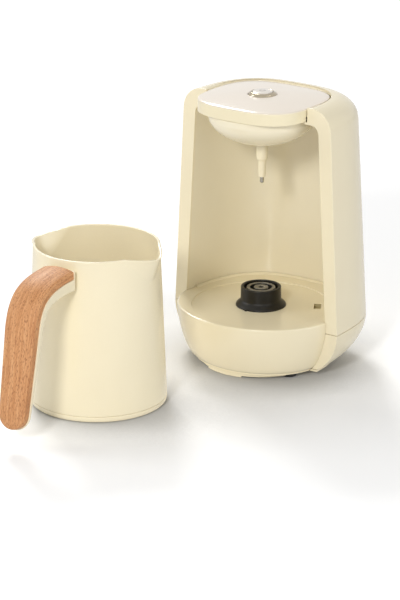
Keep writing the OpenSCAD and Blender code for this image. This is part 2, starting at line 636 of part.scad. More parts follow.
// length of the prong below the socket's roof
prong_l = 8.2;
module socket_prong() {
  low = sock_z - prong_l;
  color(steel) at_jug() rotate_extrude() polygon([
    [0, low], [1.2, low], [1.7, low + 1], [1.7, sock_z + 0.05],
    [2.9, sock_z + 0.05], [2.9, sock_z + 2.7], [0, sock_z + 2.7]]);
}
// the spring leaves that meet the ring contact: thickness, width and length
leaf = [1.2, 4, 4.85];
module socket_ring() {
  color(steel) at_jug() for (a = [0, 90, 180, 270]) rotate(a)
    translate([ring_r[1] + 0.7, -leaf[1]/2, sock_z - 0.05 - leaf[2]]) cube(leaf);
}
module heating_plate() {
  in = jug_in;
  color(steel) at_jug() rotate_extrude($fn = 96) polygon([
    [0, floor_z - 1.2], [in - 8.3, floor_z - 1.2], [in - 6.1, floor_z + 0.25],
    [in - 2.4, floor_z + 0.25], [in - 2.4, floor_z + 1.2], [in - 6.7, floor_z + 1.2],
    [in - 8.7, floor_z], [0, floor_z]]);
}
module plate_seal() {
  in = jug_in;
  color("#B8B4AC") at_jug() rotate_extrude($fn = 96) polygon([
    [in - 2.3, floor_z + 0.15], [in - 0.8, floor_z + 0.15], [in - 1.0, floor_z + 1.9],
    [in - 3.3, floor_z + 1.9], [in - 3.3, floor_z + 1.25], [in - 2.3, floor_z + 1.25]]);
}
module heating_element() {
  color("#77726B") at_jug() rotate_extrude($fn = 96)
    translate([jug_in - element_in, floor_z - element_r - 1.3]) circle(r = element_r, $fn = 24);
}
module thermostat() {
  color("#4A4744") at_jug() {
    cylinder_between(9, sock_z + 2.9, floor_z - 5.4);
    cylinder_between(12, floor_z - 5.5, floor_z - 1.25);
  }
}

// the grip's outer curve, from the jug down to its end, as [y, z, outward y, outward z]
function bez(p, t) = pow(1-t, 3)*p[0] + 3*pow(1-t, 2)*t*p[1] + 3*(1-t)*t*t*p[2] + t*t*t*p[3];
wood_y = -jug_rim_r - 4.2;
wood_z = jug_h - 6.6;
grip_y0 = -jug_r - grip_out;
grip_z0 = jug_h - 41.4;
grip_a = [
  [wood_y, wood_z], [wood_y - 33.4, wood_z - 0.4],
  [grip_y0 + 5.8, grip_z0 + 29.1], [grip_y0, grip_z0]];
grip_b = [
  [grip_y0, grip_z0], [grip_y0 - 5.2, grip_z0 - 26],
  [grip_y0 - 10.5, grip_z0 - 51], [grip_y0 - 17, grip_z0 - 82]];
function grip_pt(p, t) =
  let (q = bez(p, t), d = bez(p, t + 0.001) - bez(p, t - 0.001), l = norm(d))
  [q[0], q[1], d[1]/l, -d[0]/l];
bend_n = 12;
down_n = 8;
grip_line = concat(
  [for (i = [0:bend_n]) grip_pt(grip_a, i/bend_n)],
  [for (i = [1:down_n]) grip_pt(grip_b, i/down_n)]);
grip_all = [0:bend_n + down_n];
// the curve moved inward by depth[i]
function inset(depth) =
  [for (i = grip_all) let (q = grip_line[i]) [q[0] - depth[i]*q[2], q[1] - depth[i]*q[3]]];
function even(d) = [for (i = grip_all) d];
// depth of the handle's back: deep at the jug, slim at the end
core_top = 16;
core_bend = 12;
core_end = 9;
core_depth = [for (i = grip_all) i < bend_n
  ? core_top - (core_top - core_bend)*i/bend_n
  : core_bend - (core_bend - core_end)*(i - bend_n)/down_n];
function rev(l) = [for (i = [len(l)-1:-1:0]) l[i]];
// the grip's outline as seen from the front, grown by t
module grip_form(t) {
  r = grip_w/2 - grip_slim + t;
  rotate([90, 0, 0]) translate([0, 0, jug_rim_r/2]) linear_extrude(jug_r + grip_out) hull() {
    translate([0, grip_low - t + r]) circle(r, $fn = 48);
    translate([-grip_w/2 - t, grip_z0]) square([grip_w + 2*t, jug_h - grip_low]);
  }
}
module grip_side(w, pts) { translate([-w/2, 0, 0]) rotate([90, 0, 90]) linear_extrude(w) polygon(pts); }
// height of the middle of the grip's round end, its radius, and the curve's place at a height
end_r = grip_w/2 - grip_slim;
end_z = grip_low + end_r;
function down_t(z, t=0.5, n=6) =
  n == 0 ? t : down_t(z, t + (bez(grip_b, t)[1] - z)/(grip_z0 - grip_b[3][1]), n - 1);
// the wood's cross-sections as [place on the curve, half width, drop below the end's middle]
wood_rows = concat(
  [for (q = grip_line) if (q[1] > grip_z0 - 1) [q, grip_w/2, 0]],
  [for (q = grip_line) if (q[1] <= grip_z0 - 1 && q[1] > end_z + 2)
    [q, end_r + grip_slim*(q[1] - end_z)/(grip_z0 - end_z), 0]],
  [for (a = [0, 20, 40, 58, 72, 82]) let (z = end_z - end_r*sin(a))
    [grip_pt(grip_b, down_t(z)), end_r*cos(a), end_r*sin(a)]]);
wood_across = [-1, -0.96, -0.86, -0.68, -0.4, 0, 0.4, 0.68, 0.86, 0.96, 1];
// depth of the crowned face at f across a section: r runs from 0 in its middle to 1 at its edge
function crown_depth(f, row) =
  let (r = row[2] > 0 ? norm([row[1]*f, row[2]])/end_r : abs(f))
  grip_edge*pow(r, 14) - grip_crown*(1 - r*r);
function wood_pt(row, f, depth) =
  let (q = row[0]) [row[1]*f, q[0] - depth*q[2], q[1] - depth*q[3]];
module wood_grip() {
  color("#CF9868") at_jug() difference() {
    skin([for (row = wood_rows) concat(
      [wood_pt(row, -1, grip_t)],
      [for (f = wood_across) wood_pt(row, f, crown_depth(f, row))],
      [wood_pt(row, 1, grip_t)])]);
    grip_screw(1.3, 1.3, 6.8);
  }
}
// the jug's outside, grown by t
module cylinder_cone(t) {
  rotate_extrude($fn = 96)
    polygon([[0, 0], [jug_r + t, 0], [jug_r + t, seam_z], [jug_rim_r + t, jug_h], [0, jug_h]]);
}
module handle_core() {
  top = wood_z + grip_lip;
  back = -jug_rim_r + core_top/2;
  color(cream) at_jug() difference() {
    intersection() {
      grip_side(grip_w + 2*grip_lip, concat(
        [[back, top], [wood_y + 0.9, top], [wood_y + 0.1, top - 0.8]],
        inset(even(grip_t + 0.1)),
        rev(inset(core_depth)),
        [[back, wood_z - core_top]]));
      grip_form(grip_lip);
    }
    cylinder_cone(0.02);
    grip_screw(2.8, 1.4, 12);
    grip_screw_way();
  }
}
// screws through the handle's back into the wood
screw_deep = grip_t + 2.4;
screw_at = [40, 66];
// how far the grip leans out per mm down
grip_lean = 0.205;
module at_grip_screws() {
  for (z = screw_at) translate([0, grip_y0 - grip_lean*(grip_z0 - z) + screw_deep, z])
    rotate([90, 0, 0]) children();
}
module grip_screw(head, shank, len) {
  at_grip_screws() {
    cylinder(r = head, h = 1.3);
    cylinder(r = shank, h = len);
  }
}
module grip_screw_way() { at_grip_screws() translate([0, 0, -4]) cylinder(r = 2.8, h = 4.5); }
module grip_screws() { color(steel) at_jug() grip_screw(2.6, 1.2, 6.5); }

outer_cover();
front_frame();
niche_liner();
lower_housing();
seat_bowl();
base_plate();
foot_front_right();
foot_front_left();
foot_rear_right();
foot_rear_left();
base_screws();
connector_boss();
contact_ring();
contact_pin();
connector_base();
power_board();
relay();
transformer();
filter_capacitor();
ribbon_cable();
cord_gland();
head_pan();
probe_sleeve();
probe_tip();
control_board();
switch_body();
switch_plunger();
lid_panel();
button_collar();
button_cap();
jug_body();
jug_base_cover();
jug_socket();
socket_prong();
socket_ring();
heating_plate();
plate_seal();
heating_element();
thermostat();
handle_core();
wood_grip();
grip_screws();
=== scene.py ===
import bpy, bmesh
from math import asin, copysign, cos, hypot, pi, radians, sin, sqrt
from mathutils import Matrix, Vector


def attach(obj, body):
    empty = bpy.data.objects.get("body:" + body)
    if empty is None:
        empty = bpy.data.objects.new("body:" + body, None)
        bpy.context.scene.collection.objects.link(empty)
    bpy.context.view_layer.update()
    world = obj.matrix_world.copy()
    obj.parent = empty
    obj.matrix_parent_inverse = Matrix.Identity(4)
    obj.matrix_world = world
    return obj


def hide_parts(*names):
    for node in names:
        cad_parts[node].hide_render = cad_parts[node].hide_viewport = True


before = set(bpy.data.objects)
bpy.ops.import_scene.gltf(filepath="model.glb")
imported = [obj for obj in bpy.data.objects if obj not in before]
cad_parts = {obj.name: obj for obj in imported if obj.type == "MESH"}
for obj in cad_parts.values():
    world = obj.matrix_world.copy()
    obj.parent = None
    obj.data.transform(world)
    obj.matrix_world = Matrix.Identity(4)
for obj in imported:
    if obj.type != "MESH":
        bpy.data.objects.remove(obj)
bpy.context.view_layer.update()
mm = 0.001
print("frame loaded:", len(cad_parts), "nodes")


def addObject(name, data):
    thing = bpy.data.objects.new(name, data)
    bpy.context.scene.collection.objects.link(thing)
    return thing


view = {
    "place": (1.2400, -1.7973, 0.8092),  # metres
    "turn": 35.949,  # degrees towards +X from straight in front
    "tilt": 19.13,  # degrees below the horizon
    "lens": 164.61,
}
turn, tilt = radians(view["turn"]), radians(view["tilt"])
forward = Vector((-sin(turn) * cos(tilt), cos(turn) * cos(tilt), -sin(tilt)))
camera = addObject("camera", bpy.data.cameras.new("camera"))
camera.data.lens = view["lens"]
camera.data.sensor_width = 36
camera.data.clip_start = 0.05
camera.location = view["place"]
camera.rotation_mode = "QUATERNION"
camera.rotation_quaternion = forward.to_track_quat("-Z", "Y")
bpy.context.scene.camera = camera
bpy.context.scene.view_settings.view_transform = "Standard"

lampAim = Vector((0.0, -0.05, 0.10))
lamps = {  # place in metres, side of the square in metres, watts
    "keyBox": ((0.57, -1.91, 1.13), 0.36, 20),
    "backBox": ((-3.13, 2.67, 3.23), 1.30, 125),
    "leftBox": ((-1.73, -1.05, 1.03), 0.90, 9),
    "rightBox": ((1.85, 0.05, 0.85), 1.20, 9),
}
for name, (place, side, watts) in lamps.items():
    lamp = bpy.data.lights.new(name, "AREA")
    lamp.shape, lamp.size, lamp.energy = "SQUARE", side, watts
    holder = addObject(name, lamp)
    holder.location = place
    holder.rotation_mode = "QUATERNION"
    holder.rotation_quaternion = (lampAim - Vector(place)).to_track_quat("-Z", "Y")


def liveOutput(node):
    return next(s for s in node.outputs if s.enabled)


def addNode(tree, kind, links=None, **settings):
    node = tree.nodes.new(kind)
    for key, value in settings.items():
        setattr(node, key, value)
    for key, value in (links or {}).items():
        byName = (s for s in node.inputs if s.name == key and s.enabled)
        socket = node.inputs[key] if isinstance(key, int) else next(byName)
        if isinstance(value, bpy.types.Node):
            value = liveOutput(value)
        if isinstance(value, bpy.types.NodeSocket):
            tree.links.new(value, socket)
        else:
            socket.default_value = value
    return node


def calc(tree, operation, a, b=0.0, c=0.0):
    return addNode(tree, "ShaderNodeMath", {0: a, 1: b, 2: c}, operation=operation)


def colour(text):  # an sRGB hex value as linear numbers
    channels = [int(text[i:i + 2], 16) / 255 for i in (1, 3, 5)]
    return [c / 12.92 if c <= 0.04045 else ((c + 0.055) / 1.055) ** 2.4 for c in channels] + [1.0]


studio = {
    "ambient": 0.37, "floor": "#F0F1F4", "floorLift": 0.02, "floorShade": 1.13,
    "contact": 0.045, "contactShade": 0.76,  # reach in metres of the shade where things touch, and its tone
    "cast": 0.32, "castShade": 0.50,  # the same for the shade that falls away from the back lamp
}


def clearTree(owner):
    owner.use_nodes = True
    owner.node_tree.nodes.clear()
    return owner.node_tree


world = bpy.data.worlds.new("studio")
bpy.context.scene.world = world
tree = clearTree(world)
path = addNode(tree, "ShaderNodeLightPath")
seen = calc(tree, "MAXIMUM", path.outputs["Is Camera Ray"], path.outputs["Is Glossy Ray"])
seen = calc(tree, "MAXIMUM", seen, path.outputs["Is Transmission Ray"])
strength = addNode(tree, "ShaderNodeMapRange", {0: seen, 3: studio["ambient"], 4: 1.0})
sky = addNode(tree, "ShaderNodeBackground", {"Color": (1, 1, 1, 1), "Strength": strength})
addNode(tree, "ShaderNodeOutputWorld", {"Surface": sky})

floorMesh = bpy.data.meshes.new("floor")
floorMesh.from_pydata([(-6, -6, 0), (6, -6, 0), (6, 6, 0), (-6, 6, 0)], [], [(0, 1, 2, 3)])
floor = addObject("floor", floorMesh)
paper = bpy.data.materials.new("whitePaperSweepPaintedShade")
tree = clearTree(paper)
# seen by the camera, the floor's colour holds painted shade: one ambient occlusion paints a contact shade
# where things touch, and one that leans towards the back lamp paints a cast shadow falling away from it
byCamera = addNode(tree, "ShaderNodeLightPath").outputs["Is Camera Ray"]
near = addNode(tree, "ShaderNodeAmbientOcclusion", {"Distance": studio["contact"]}, samples=16).outputs["AO"]
full = studio["floorShade"]
shade = addNode(tree, "ShaderNodeMapRange", {0: near, 1: 0.45, 3: studio["contactShade"] * full, 4: full})
lampward = (Vector(lamps["backBox"][0]) - lampAim).normalized()
lampward = addNode(tree, "ShaderNodeCombineXYZ", dict(enumerate(lampward)))
leaning = {"Distance": studio["cast"], "Normal": lampward}
cast = addNode(tree, "ShaderNodeAmbientOcclusion", leaning, samples=16).outputs["AO"]
paintedCastShadow = addNode(tree, "ShaderNodeMapRange", {0: cast, 1: 0.30, 2: 0.72, 3: studio["castShade"]})
tones = {"Factor": byCamera, "A": colour(studio["floor"]), "B": calc(tree, "MULTIPLY", shade, paintedCastShadow)}
toned = addNode(tree, "ShaderNodeMix", tones, data_type="RGBA")
matt = addNode(tree, "ShaderNodeBsdfDiffuse", {"Color": toned})
glow = calc(tree, "MULTIPLY", byCamera, studio["floorLift"])
lift = addNode(tree, "ShaderNodeEmission", {"Color": (1, 1, 1, 1), "Strength": glow})
both = addNode(tree, "ShaderNodeAddShader", {0: matt, 1: lift})
addNode(tree, "ShaderNodeOutputMaterial", {"Surface": both})
floorMesh.materials.append(paper)
print("camera, lamps and floor ready")


def newMaterial(name, roughness, metallic=0.0, ior=1.5, shine=0.5):
    material = bpy.data.materials.new(name)
    tree = clearTree(material)
    values = {"Roughness": roughness, "Metallic": metallic, "Specular IOR Level": shine}
    if metallic < 0.5:
        values["IOR"] = ior
    shader = addNode(tree, "ShaderNodeBsdfPrincipled", values)
    addNode(tree, "ShaderNodeOutputMaterial", {"Surface": shader})
    return material, tree, shader, addNode(tree, "ShaderNodeTexCoord").outputs["Object"]


def feed(tree, shader, socket, value):
    tree.links.new(liveOutput(value), shader.inputs[socket])


def moulded(name, light, dark, roughness, wave, grit, gritDepth, shine=0.5):
    # injection-moulded plastic: an even gloss with faint sink waves and a fine mould grain
    material, tree, shader, spot = newMaterial(name, roughness, ior=1.49, shine=shine)
    cloud = addNode(tree, "ShaderNodeTexNoise", {"Vector": spot, "Scale": 1 / wave, "Detail": 2.0})
    tones = {"Factor": cloud, "A": colour(light), "B": colour(dark)}
    feed(tree, shader, "Base Color", addNode(tree, "ShaderNodeMix", tones, data_type="RGBA"))
    fine = {"Vector": spot, "Scale": 1 / grit, "Detail": 3.0, "Roughness": 0.6}
    grain = addNode(tree, "ShaderNodeTexNoise", fine)
    gloss = {0: grain, 1: 0.3, 2: 0.7, 3: roughness - 0.03, 4: roughness + 0.04}
    feed(tree, shader, "Roughness", addNode(tree, "ShaderNodeMapRange", gloss))
    sink = addNode(tree, "ShaderNodeBump", {"Strength": 0.25, "Distance": 0.00012, "Height": cloud})
    skin = {"Strength": 0.5, "Distance": gritDepth, "Height": grain, "Normal": sink}
    feed(tree, shader, "Normal", addNode(tree, "ShaderNodeBump", skin))
    return material


def metal(name, light, dark, roughness, streakSize):
    # turned or pressed metal with a fine uneven polish
    material, tree, shader, spot = newMaterial(name, roughness, metallic=1.0)
    fine = {"Vector": spot, "Scale": 1 / streakSize, "Detail": 4.0, "Roughness": 0.7}
    streak = addNode(tree, "ShaderNodeTexNoise", fine)
    tones = {"Factor": streak, "A": colour(light), "B": colour(dark)}
    feed(tree, shader, "Base Color", addNode(tree, "ShaderNodeMix", tones, data_type="RGBA"))
    gloss = {0: streak, 1: 0.3, 2: 0.7, 3: roughness * 0.8, 4: roughness * 1.3}
    feed(tree, shader, "Roughness", addNode(tree, "ShaderNodeMapRange", gloss))
    bump = addNode(tree, "ShaderNodeBump", {"Strength": 0.2, "Distance": 0.00002, "Height": streak})
    feed(tree, shader, "Normal", bump)
    return material


# name, two tones, roughness, then the size of its waves and of its grain and the grain's depth in metres
glossCream = moulded("glossMouldedAbsCream", "#F0E5C6", "#EDE1C1", 0.20, 0.030, 0.0009, 0.000006)
# a paler, less yellow copy of the cream, painted lighter to offset the shade and warm bounce inside the
# niche; also used on the head's dome
nicheCreamPaintedLighter = moulded("polishedAbsCreamPaintedLighter", "#F1E8CE", "#EEE4C8", 0.17, 0.030, 0.0007, 0.000006)
jugCream = moulded("glossMouldedPolypropylene", "#F2E7C8", "#EFE3C3", 0.24, 0.028, 0.0009, 0.000006)
# painted shade: the drain pocket's walls are a darker, browner cream that stands in for the shade inside the
# recess; its two tones are painted shade, not sink waves
pocketPaintedShade = moulded("absCreamPaintedPocketShade", "#CDBF92", "#8F8057", 0.60, 0.004, 0.0006, 0.000020)
capWhite = moulded("pearlWhiteAbsCap", "#E6DFD5", "#E1D9CD", 0.14, 0.010, 0.0006, 0.000003)
blackNylon = moulded("glassFilledNylonBlack", "#16140F", "#1F1C15", 0.36, 0.006, 0.00035, 0.00002, 0.28)
switchBlack = moulded("phenolicSwitchBlack", "#222226", "#2C2C30", 0.45, 0.006, 0.0004, 0.000010)
feetRubber = moulded("mouldedRubberFeet", "#1F1E1D", "#292725", 0.75, 0.004, 0.0005, 0.000030)
boardGreen = moulded("solderMaskedBoard", "#2C5A38", "#24502F", 0.30, 0.004, 0.0006, 0.000015)
relayBlue = moulded("relayCaseBlue", "#2A4C8E", "#264582", 0.35, 0.006, 0.0005, 0.000008)
canSleeve = moulded("capacitorSleeve", "#26262C", "#303036", 0.28, 0.005, 0.0005, 0.000005)
ribbonGrey = moulded("ribbonPvcGrey", "#B9B6AE", "#ADAAA2", 0.42, 0.004, 0.0013, 0.000040)
sealSilicone = moulded("siliconeSealGrey", "#B4B0A7", "#A9A59C", 0.55, 0.005, 0.0006, 0.000012)
socketWhite = moulded("thermosetSocketWhite", "#DAD7CF", "#D2CEC5", 0.42, 0.006, 0.0005, 0.000012)
plungerIvory = moulded("acetalPlungerIvory", "#DCD8CF", "#D4D0C6", 0.32, 0.005, 0.0005, 0.000008)
chromeRing = metal("platedChromeRing", "#B9AE99", "#A79C86", 0.15, 0.004)
steelTip = metal("drawnStainlessTip", "#B8B4AB", "#A39F96", 0.24, 0.0008)
platePolished = metal("spunStainlessPlate", "#C6C4BE", "#B4B1AA", 0.30, 0.0007)
contactMetal = metal("nickelPlatedContact", "#85827D", "#6C6A66", 0.34, 0.0009)
elementSheath = metal("castHeaterSheath", "#8B857B", "#6F6A61", 0.45, 0.0012)
screwZinc = metal("zincPlatedScrew", "#BDBEBB", "#A7A8A4", 0.32, 0.0006)
copperCoil = metal("enamelledCopperCoil", "#A8703C", "#8C5A2E", 0.35, 0.0005)

# the lid is moulded in cream, and only its upper face is lacquered in pearl
lacquer = {"fascia": "#EDE2C1", "from": 0.2266, "to": 0.2284}  # heights in metres
lidCream = moulded("highGlossAbsLid", "#EFE5D7", "#EDE2D3", 0.15, 0.040, 0.0010, 0.000003, 0.36)
tree = lidCream.node_tree
shader = next(n for n in tree.nodes if n.type == "BSDF_PRINCIPLED")
pearl = shader.inputs["Base Color"].links[0].from_node
spot = addNode(tree, "ShaderNodeSeparateXYZ", {0: addNode(tree, "ShaderNodeTexCoord").outputs["Object"]})
band = {0: spot.outputs["Z"], 1: lacquer["from"], 2: lacquer["to"]}
above = addNode(tree, "ShaderNodeMapRange", band, interpolation_type="SMOOTHSTEP")
tones = {"Factor": above, "A": colour(lacquer["fascia"]), "B": liveOutput(pearl)}
feed(tree, shader, "Base Color", addNode(tree, "ShaderNodeMix", tones, data_type="RGBA"))

inkGrey, tree, shader, spot = newMaterial("padPrintedInkGrey", 0.45)
speck = addNode(tree, "ShaderNodeTexNoise", {"Vector": spot, "Scale": 2500.0, "Detail": 2.0})
tones = {"Factor": speck, "A": colour("#6A645A"), "B": colour("#7A7368")}
feed(tree, shader, "Base Color", addNode(tree, "ShaderNodeMix", tones, data_type="RGBA"))

# steam-bent beech rubbed with oil: fine straight grain, short brown ray flecks and a soft dull sheen
beech = {
    "pale": "#DEA978", "mid": "#CE9564", "deep": "#B87D4F", "fleck": "#905A3A",
    "grainWidth": 0.0012, "grainLength": 0.030, "fleckWidth": 0.00050, "fleckLength": 0.0026,  # metres
}
beechWood, tree, shader, _ = newMaterial("oiledBeech", 0.55, ior=1.45, shine=0.35)
along = addNode(tree, "ShaderNodeAttribute", attribute_name="grain").outputs["Vector"]


def stretched(width, length):  # a place in the wood, counted in marks of this width and length
    return addNode(tree, "ShaderNodeMapping", {"Vector": along, "Scale": (1 / width, 1 / length, 1 / width)})


bands = stretched(beech["grainWidth"], beech["grainLength"])
waves = {"Vector": bands, "Scale": 1.0, "Detail": 4.0, "Roughness": 0.62, "Distortion": 0.25}
figure = addNode(tree, "ShaderNodeTexNoise", waves)
warm = addNode(tree, "ShaderNodeValToRGB", {0: figure})
warm.color_ramp.elements[0].position, warm.color_ramp.elements[0].color = 0.30, colour(beech["deep"])
warm.color_ramp.elements[1].position, warm.color_ramp.elements[1].color = 0.72, colour(beech["pale"])
warm.color_ramp.elements.new(0.52).color = colour(beech["mid"])
rays = stretched(beech["fleckWidth"], beech["fleckLength"])
dashes = {"Vector": rays, "Scale": 1.0, "Detail": 1.0, "Roughness": 0.4}
flecks = addNode(tree, "ShaderNodeTexNoise", dashes)
sharpen = {0: flecks, 1: 0.54, 2: 0.68, 3: 0.0, 4: 0.70}
mark = addNode(tree, "ShaderNodeMapRange", sharpen, interpolation_type="SMOOTHSTEP")
tones = {"Factor": mark, "A": warm.outputs[0], "B": colour(beech["fleck"])}
feed(tree, shader, "Base Color", addNode(tree, "ShaderNodeMix", tones, data_type="RGBA"))
sheen = addNode(tree, "ShaderNodeMapRange", {0: figure, 1: 0.3, 2: 0.7, 3: 0.60, 4: 0.50})
feed(tree, shader, "Roughness", sheen)
pores = addNode(tree, "ShaderNodeBump", {"Strength": 0.35, "Distance": 0.00008, "Height": mark}, invert=True)
feed(tree, shader, "Normal", pores)
print("materials ready")


# shapes are in millimetres, as a list of points and a list of faces
def loft(rows, closed=False, caps=False):
    n, m = len(rows), len(rows[0])
    faces = []
    for j in range(n if closed else n - 1):
        for i in range(m):
            k, q = (i + 1) % m, (j + 1) % n
            faces.append((j * m + i, j * m + k, q * m + k, q * m + i))
    if caps:
        faces += [tuple(range(m)), tuple((n - 1) * m + i for i in reversed(range(m)))]
    return [p for row in rows for p in row], faces


def lathe(profile, count=144):
    rows = []
    for j in range(count):
        a = 2 * pi * j / count
        rows.append([(r * cos(a), r * sin(a), z) for r, z in profile])
    return loft(rows, closed=True)


def soften(profile, count=4):  # each corner is x, y and the radius that rounds it
    out = []
    for i, (x, y, radius) in enumerate(profile):
        here = Vector((x, y))
        if radius <= 0:
            out.append(tuple(here))
            continue
        back, ahead = Vector(profile[i - 1][:2]) - here, Vector(profile[(i + 1) % len(profile)][:2]) - here
        reach = min(radius, 0.45 * back.length, 0.45 * ahead.length)
        p0, p1 = here + back.normalized() * reach, here + ahead.normalized() * reach
        for s in range(count + 1):
            t = s / count
            p = p0 * (1 - t) ** 2 + here * 2 * t * (1 - t) + p1 * t * t
            out.append((p.x, p.y))
    return out


def turned(profile, count=144):
    return lathe(soften(profile), count)


def merge(*parts):
    verts, faces = [], []
    for v, f in parts:
        faces += [tuple(i + len(verts) for i in face) for face in f]
        verts += v
    return verts, faces


def placed(part, move=(0, 0, 0), degrees=0.0):
    c, s = cos(radians(degrees)), sin(radians(degrees))
    return [(x * c - y * s + move[0], x * s + y * c + move[1], z + move[2]) for x, y, z in part[0]], part[1]


def mirrored(part):
    return [(-x, y, z) for x, y, z in part[0]], [tuple(reversed(f)) for f in part[1]]


def block(x0, y0, z0, x1, y1, z1):
    return loft([[(x0, y0, z), (x1, y0, z), (x1, y1, z), (x0, y1, z)] for z in (z0, z1)], caps=True)


def rawMesh(name, part):
    mesh = bpy.data.meshes.new(name)
    mesh.from_pydata([tuple(c * mm for c in p) for p in part[0]], [], part[1])
    return mesh


def finishMesh(mesh, sharp=38):
    work = bmesh.new()
    work.from_mesh(mesh)
    bmesh.ops.remove_doubles(work, verts=work.verts, dist=1e-6)
    bmesh.ops.recalc_face_normals(work, faces=work.faces)
    work.to_mesh(mesh)
    work.free()
    mesh.shade_smooth()
    mesh.set_sharp_from_angle(angle=radians(sharp))


def dressPiece(name, mesh, material, body, nodes, weighted=True):
    piece = addObject(name, mesh)
    mesh.materials.clear()
    mesh.materials.append(material)
    if weighted:
        normals = piece.modifiers.new("faceWeight", "WEIGHTED_NORMAL")
        normals.keep_sharp = True
        normals.weight = 60
    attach(piece, body)
    if nodes:
        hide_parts(*nodes)
    return piece


def solidMesh(name, part, sharp=38):
    mesh = rawMesh(name, part)
    finishMesh(mesh, sharp)
    return mesh


def makePiece(name, part, material, body, nodes, sharp=38, weighted=True):
    mesh = solidMesh(name, part, sharp)
    return dressPiece(name, mesh, material, body, nodes, weighted)


def bake(piece):  # its mesh with the modifiers applied
    return bpy.data.meshes.new_from_object(piece.evaluated_get(bpy.context.evaluated_depsgraph_get()))


def steps(start, end, count):
    return [start + (end - start) * i / count for i in range(count + 1)]


def signPower(v, e):
    return copysign(abs(v) ** e, v)


def drop(r, u):  # how far a round of radius r falls away at u along it
    u = min(u, r)
    return r - sqrt(max(r * r - u * u, 0))


shell = {
    "halfWidth": 82.8, "backDepth": 82.5, "faceDepth": 9.5, "beltZ": 39.6, "topZ": 229.2, "sideTaper": 0.054,
    "backTaper": 0.045, "shoulder": 18.8, "crest": 23.5, "tuck": 39.5, "tuckBack": 1.7, "wall": 2.4,
    "planY": -20.9, "planPower": 3.0, "frameThick": 2.3,
}
niche = {
    "halfWidth": 70.5, "taper": 0.0570, "depth": 75.0, "backTaper": 0.060, "ceilZ": 215.0, "ceilThick": 2.2,
    "wall": 2.2, "corner": 7.0,
}
base = {
    "plateZ": 49.2, "plateThick": 5.5, "bowlWidth": 73.0, "lowWidth": 58.0, "lowZ": 5.8, "flat": 0.90,
    "fullness": 1.65, "seatRadius": 58.4, "seatDip": 1.0, "hole": 18.8,
}
lid = {
    "halfWidth": 50.0, "halfDepth": 47.0, "centreY": 2.0, "drop": 1.0, "crown": 3.1, "edge": 1.1, "gap": 0.4,
}
head = {"domeRadius": 44.6, "domeDepth": 27.9, "flatter": 2.5, "panThick": 1.6, "probeLength": 32.0}
topZ, beltZ, wall = shell["topZ"], shell["beltZ"], shell["wall"]
frontY = -shell["faceDepth"]
coverY = frontY + shell["frameThick"]
shoulderZ, crestZ = topZ - shell["shoulder"], topZ - shell["crest"]
ceilZ, corner, plateZ = niche["ceilZ"], niche["corner"], base["plateZ"]
power = 2 / shell["planPower"]
lidZ = topZ - lid["drop"]
lidMid = lidZ + lid["crown"]
skirtZ = ceilZ + niche["ceilThick"] + 0.3
dr = head["domeRadius"]


def shellWide(z, t=0.0):
    if z < beltZ:
        return shell["halfWidth"] - t - drop(shell["tuck"], beltZ - z)
    rolled = drop(shell["shoulder"] - t, z - shoulderZ) if z > shoulderZ else 0
    return shell["halfWidth"] - shell["sideTaper"] * (min(z, shoulderZ) - beltZ) - t - rolled


def shellDeep(z, t=0.0):
    if z < beltZ:
        return shell["backDepth"] - t - shell["tuckBack"] * drop(shell["tuck"], beltZ - z)
    rolled = drop(shell["crest"] - t, z - crestZ) if z > crestZ else 0
    return shell["backDepth"] - shell["backTaper"] * (min(z, crestZ) - beltZ) - t - rolled


def planPoint(u, z, a, b, y0, y):  # u runs from the right front round the back to the left front
    t0 = asin(max(min(signPower((y - y0) / b, 1 / power), 1), -1))
    t = t0 + (pi - 2 * t0) * u
    return a * signPower(cos(t), power), y0 + b * signPower(sin(t), power), z


def shellPoint(u, z, t=0.0, y=coverY):
    return planPoint(u, z, shellWide(z, t), shellDeep(z, t) - shell["planY"], shell["planY"], y)


def nicheWide(z):
    return niche["halfWidth"] - niche["taper"] * (z - plateZ)


def nicheDeep(z):
    return niche["depth"] - niche["backTaper"] * (z - plateZ)


def nichePoint(u, z, t=0.0, y=coverY):
    c = drop(corner, z - ceilZ + corner) if z > ceilZ - corner else 0
    return planPoint(u, z, nicheWide(z) + t - c, nicheDeep(z) + t - c - shell["planY"], shell["planY"], y)


def lidPoint(u, z, t=0.0, y=coverY):
    return planPoint(u, z, lid["halfWidth"] + t, lid["halfDepth"] + t, lid["centreY"], y)


def sweepRound(loop):  # a section carried round the plan, with its two front ends rounded
    rows = [loop(0, coverY, 0.4), loop(0, coverY + 0.1, 0.12)]
    rows += [loop(j / 150, coverY + 0.4, 0) for j in range(151)]
    rows += [loop(1, coverY + 0.1, 0.12), loop(1, coverY, 0.4)]
    return loft(rows, caps=True)


# outer cover: its rim rolls down towards the lid
rimRoll = [(0.25, 3.2), (0.6, 2.2), (1.0, 1.55), (1.6, 1.2), (wall, 1.2)]  # below the top, out from the lid
seamGap = 0.2  # each side of the belt line
seamEdge = [(0, 0.45), (0.12, 0.14), (0.5, 0)]  # away from the seam, in from the face


def coverLoop(u, y, t):
    low = beltZ + seamGap
    loop = [shellPoint(u, low + d, q + t, y) for d, q in seamEdge]
    loop += [shellPoint(u, z, t, y) for z in steps(low + 6, crestZ, 9)]
    loop += [shellPoint(u, crestZ + shell["crest"] * sin(radians(a)), t, y) for a in range(3, 91, 3)]
    loop += [lidPoint(u, topZ - fall, out + t, y) for fall, out in rimRoll]
    inner = shell["crest"] - wall
    loop += [shellPoint(u, crestZ + inner * sin(radians(a)), wall - t, y) for a in range(90, -1, -6)]
    return loop + [shellPoint(u, z, wall - t, y) for z in steps(crestZ - 20, low, 6)]


makePiece("outerCover", sweepRound(coverLoop), glossCream, "machine", ["outer_cover"])


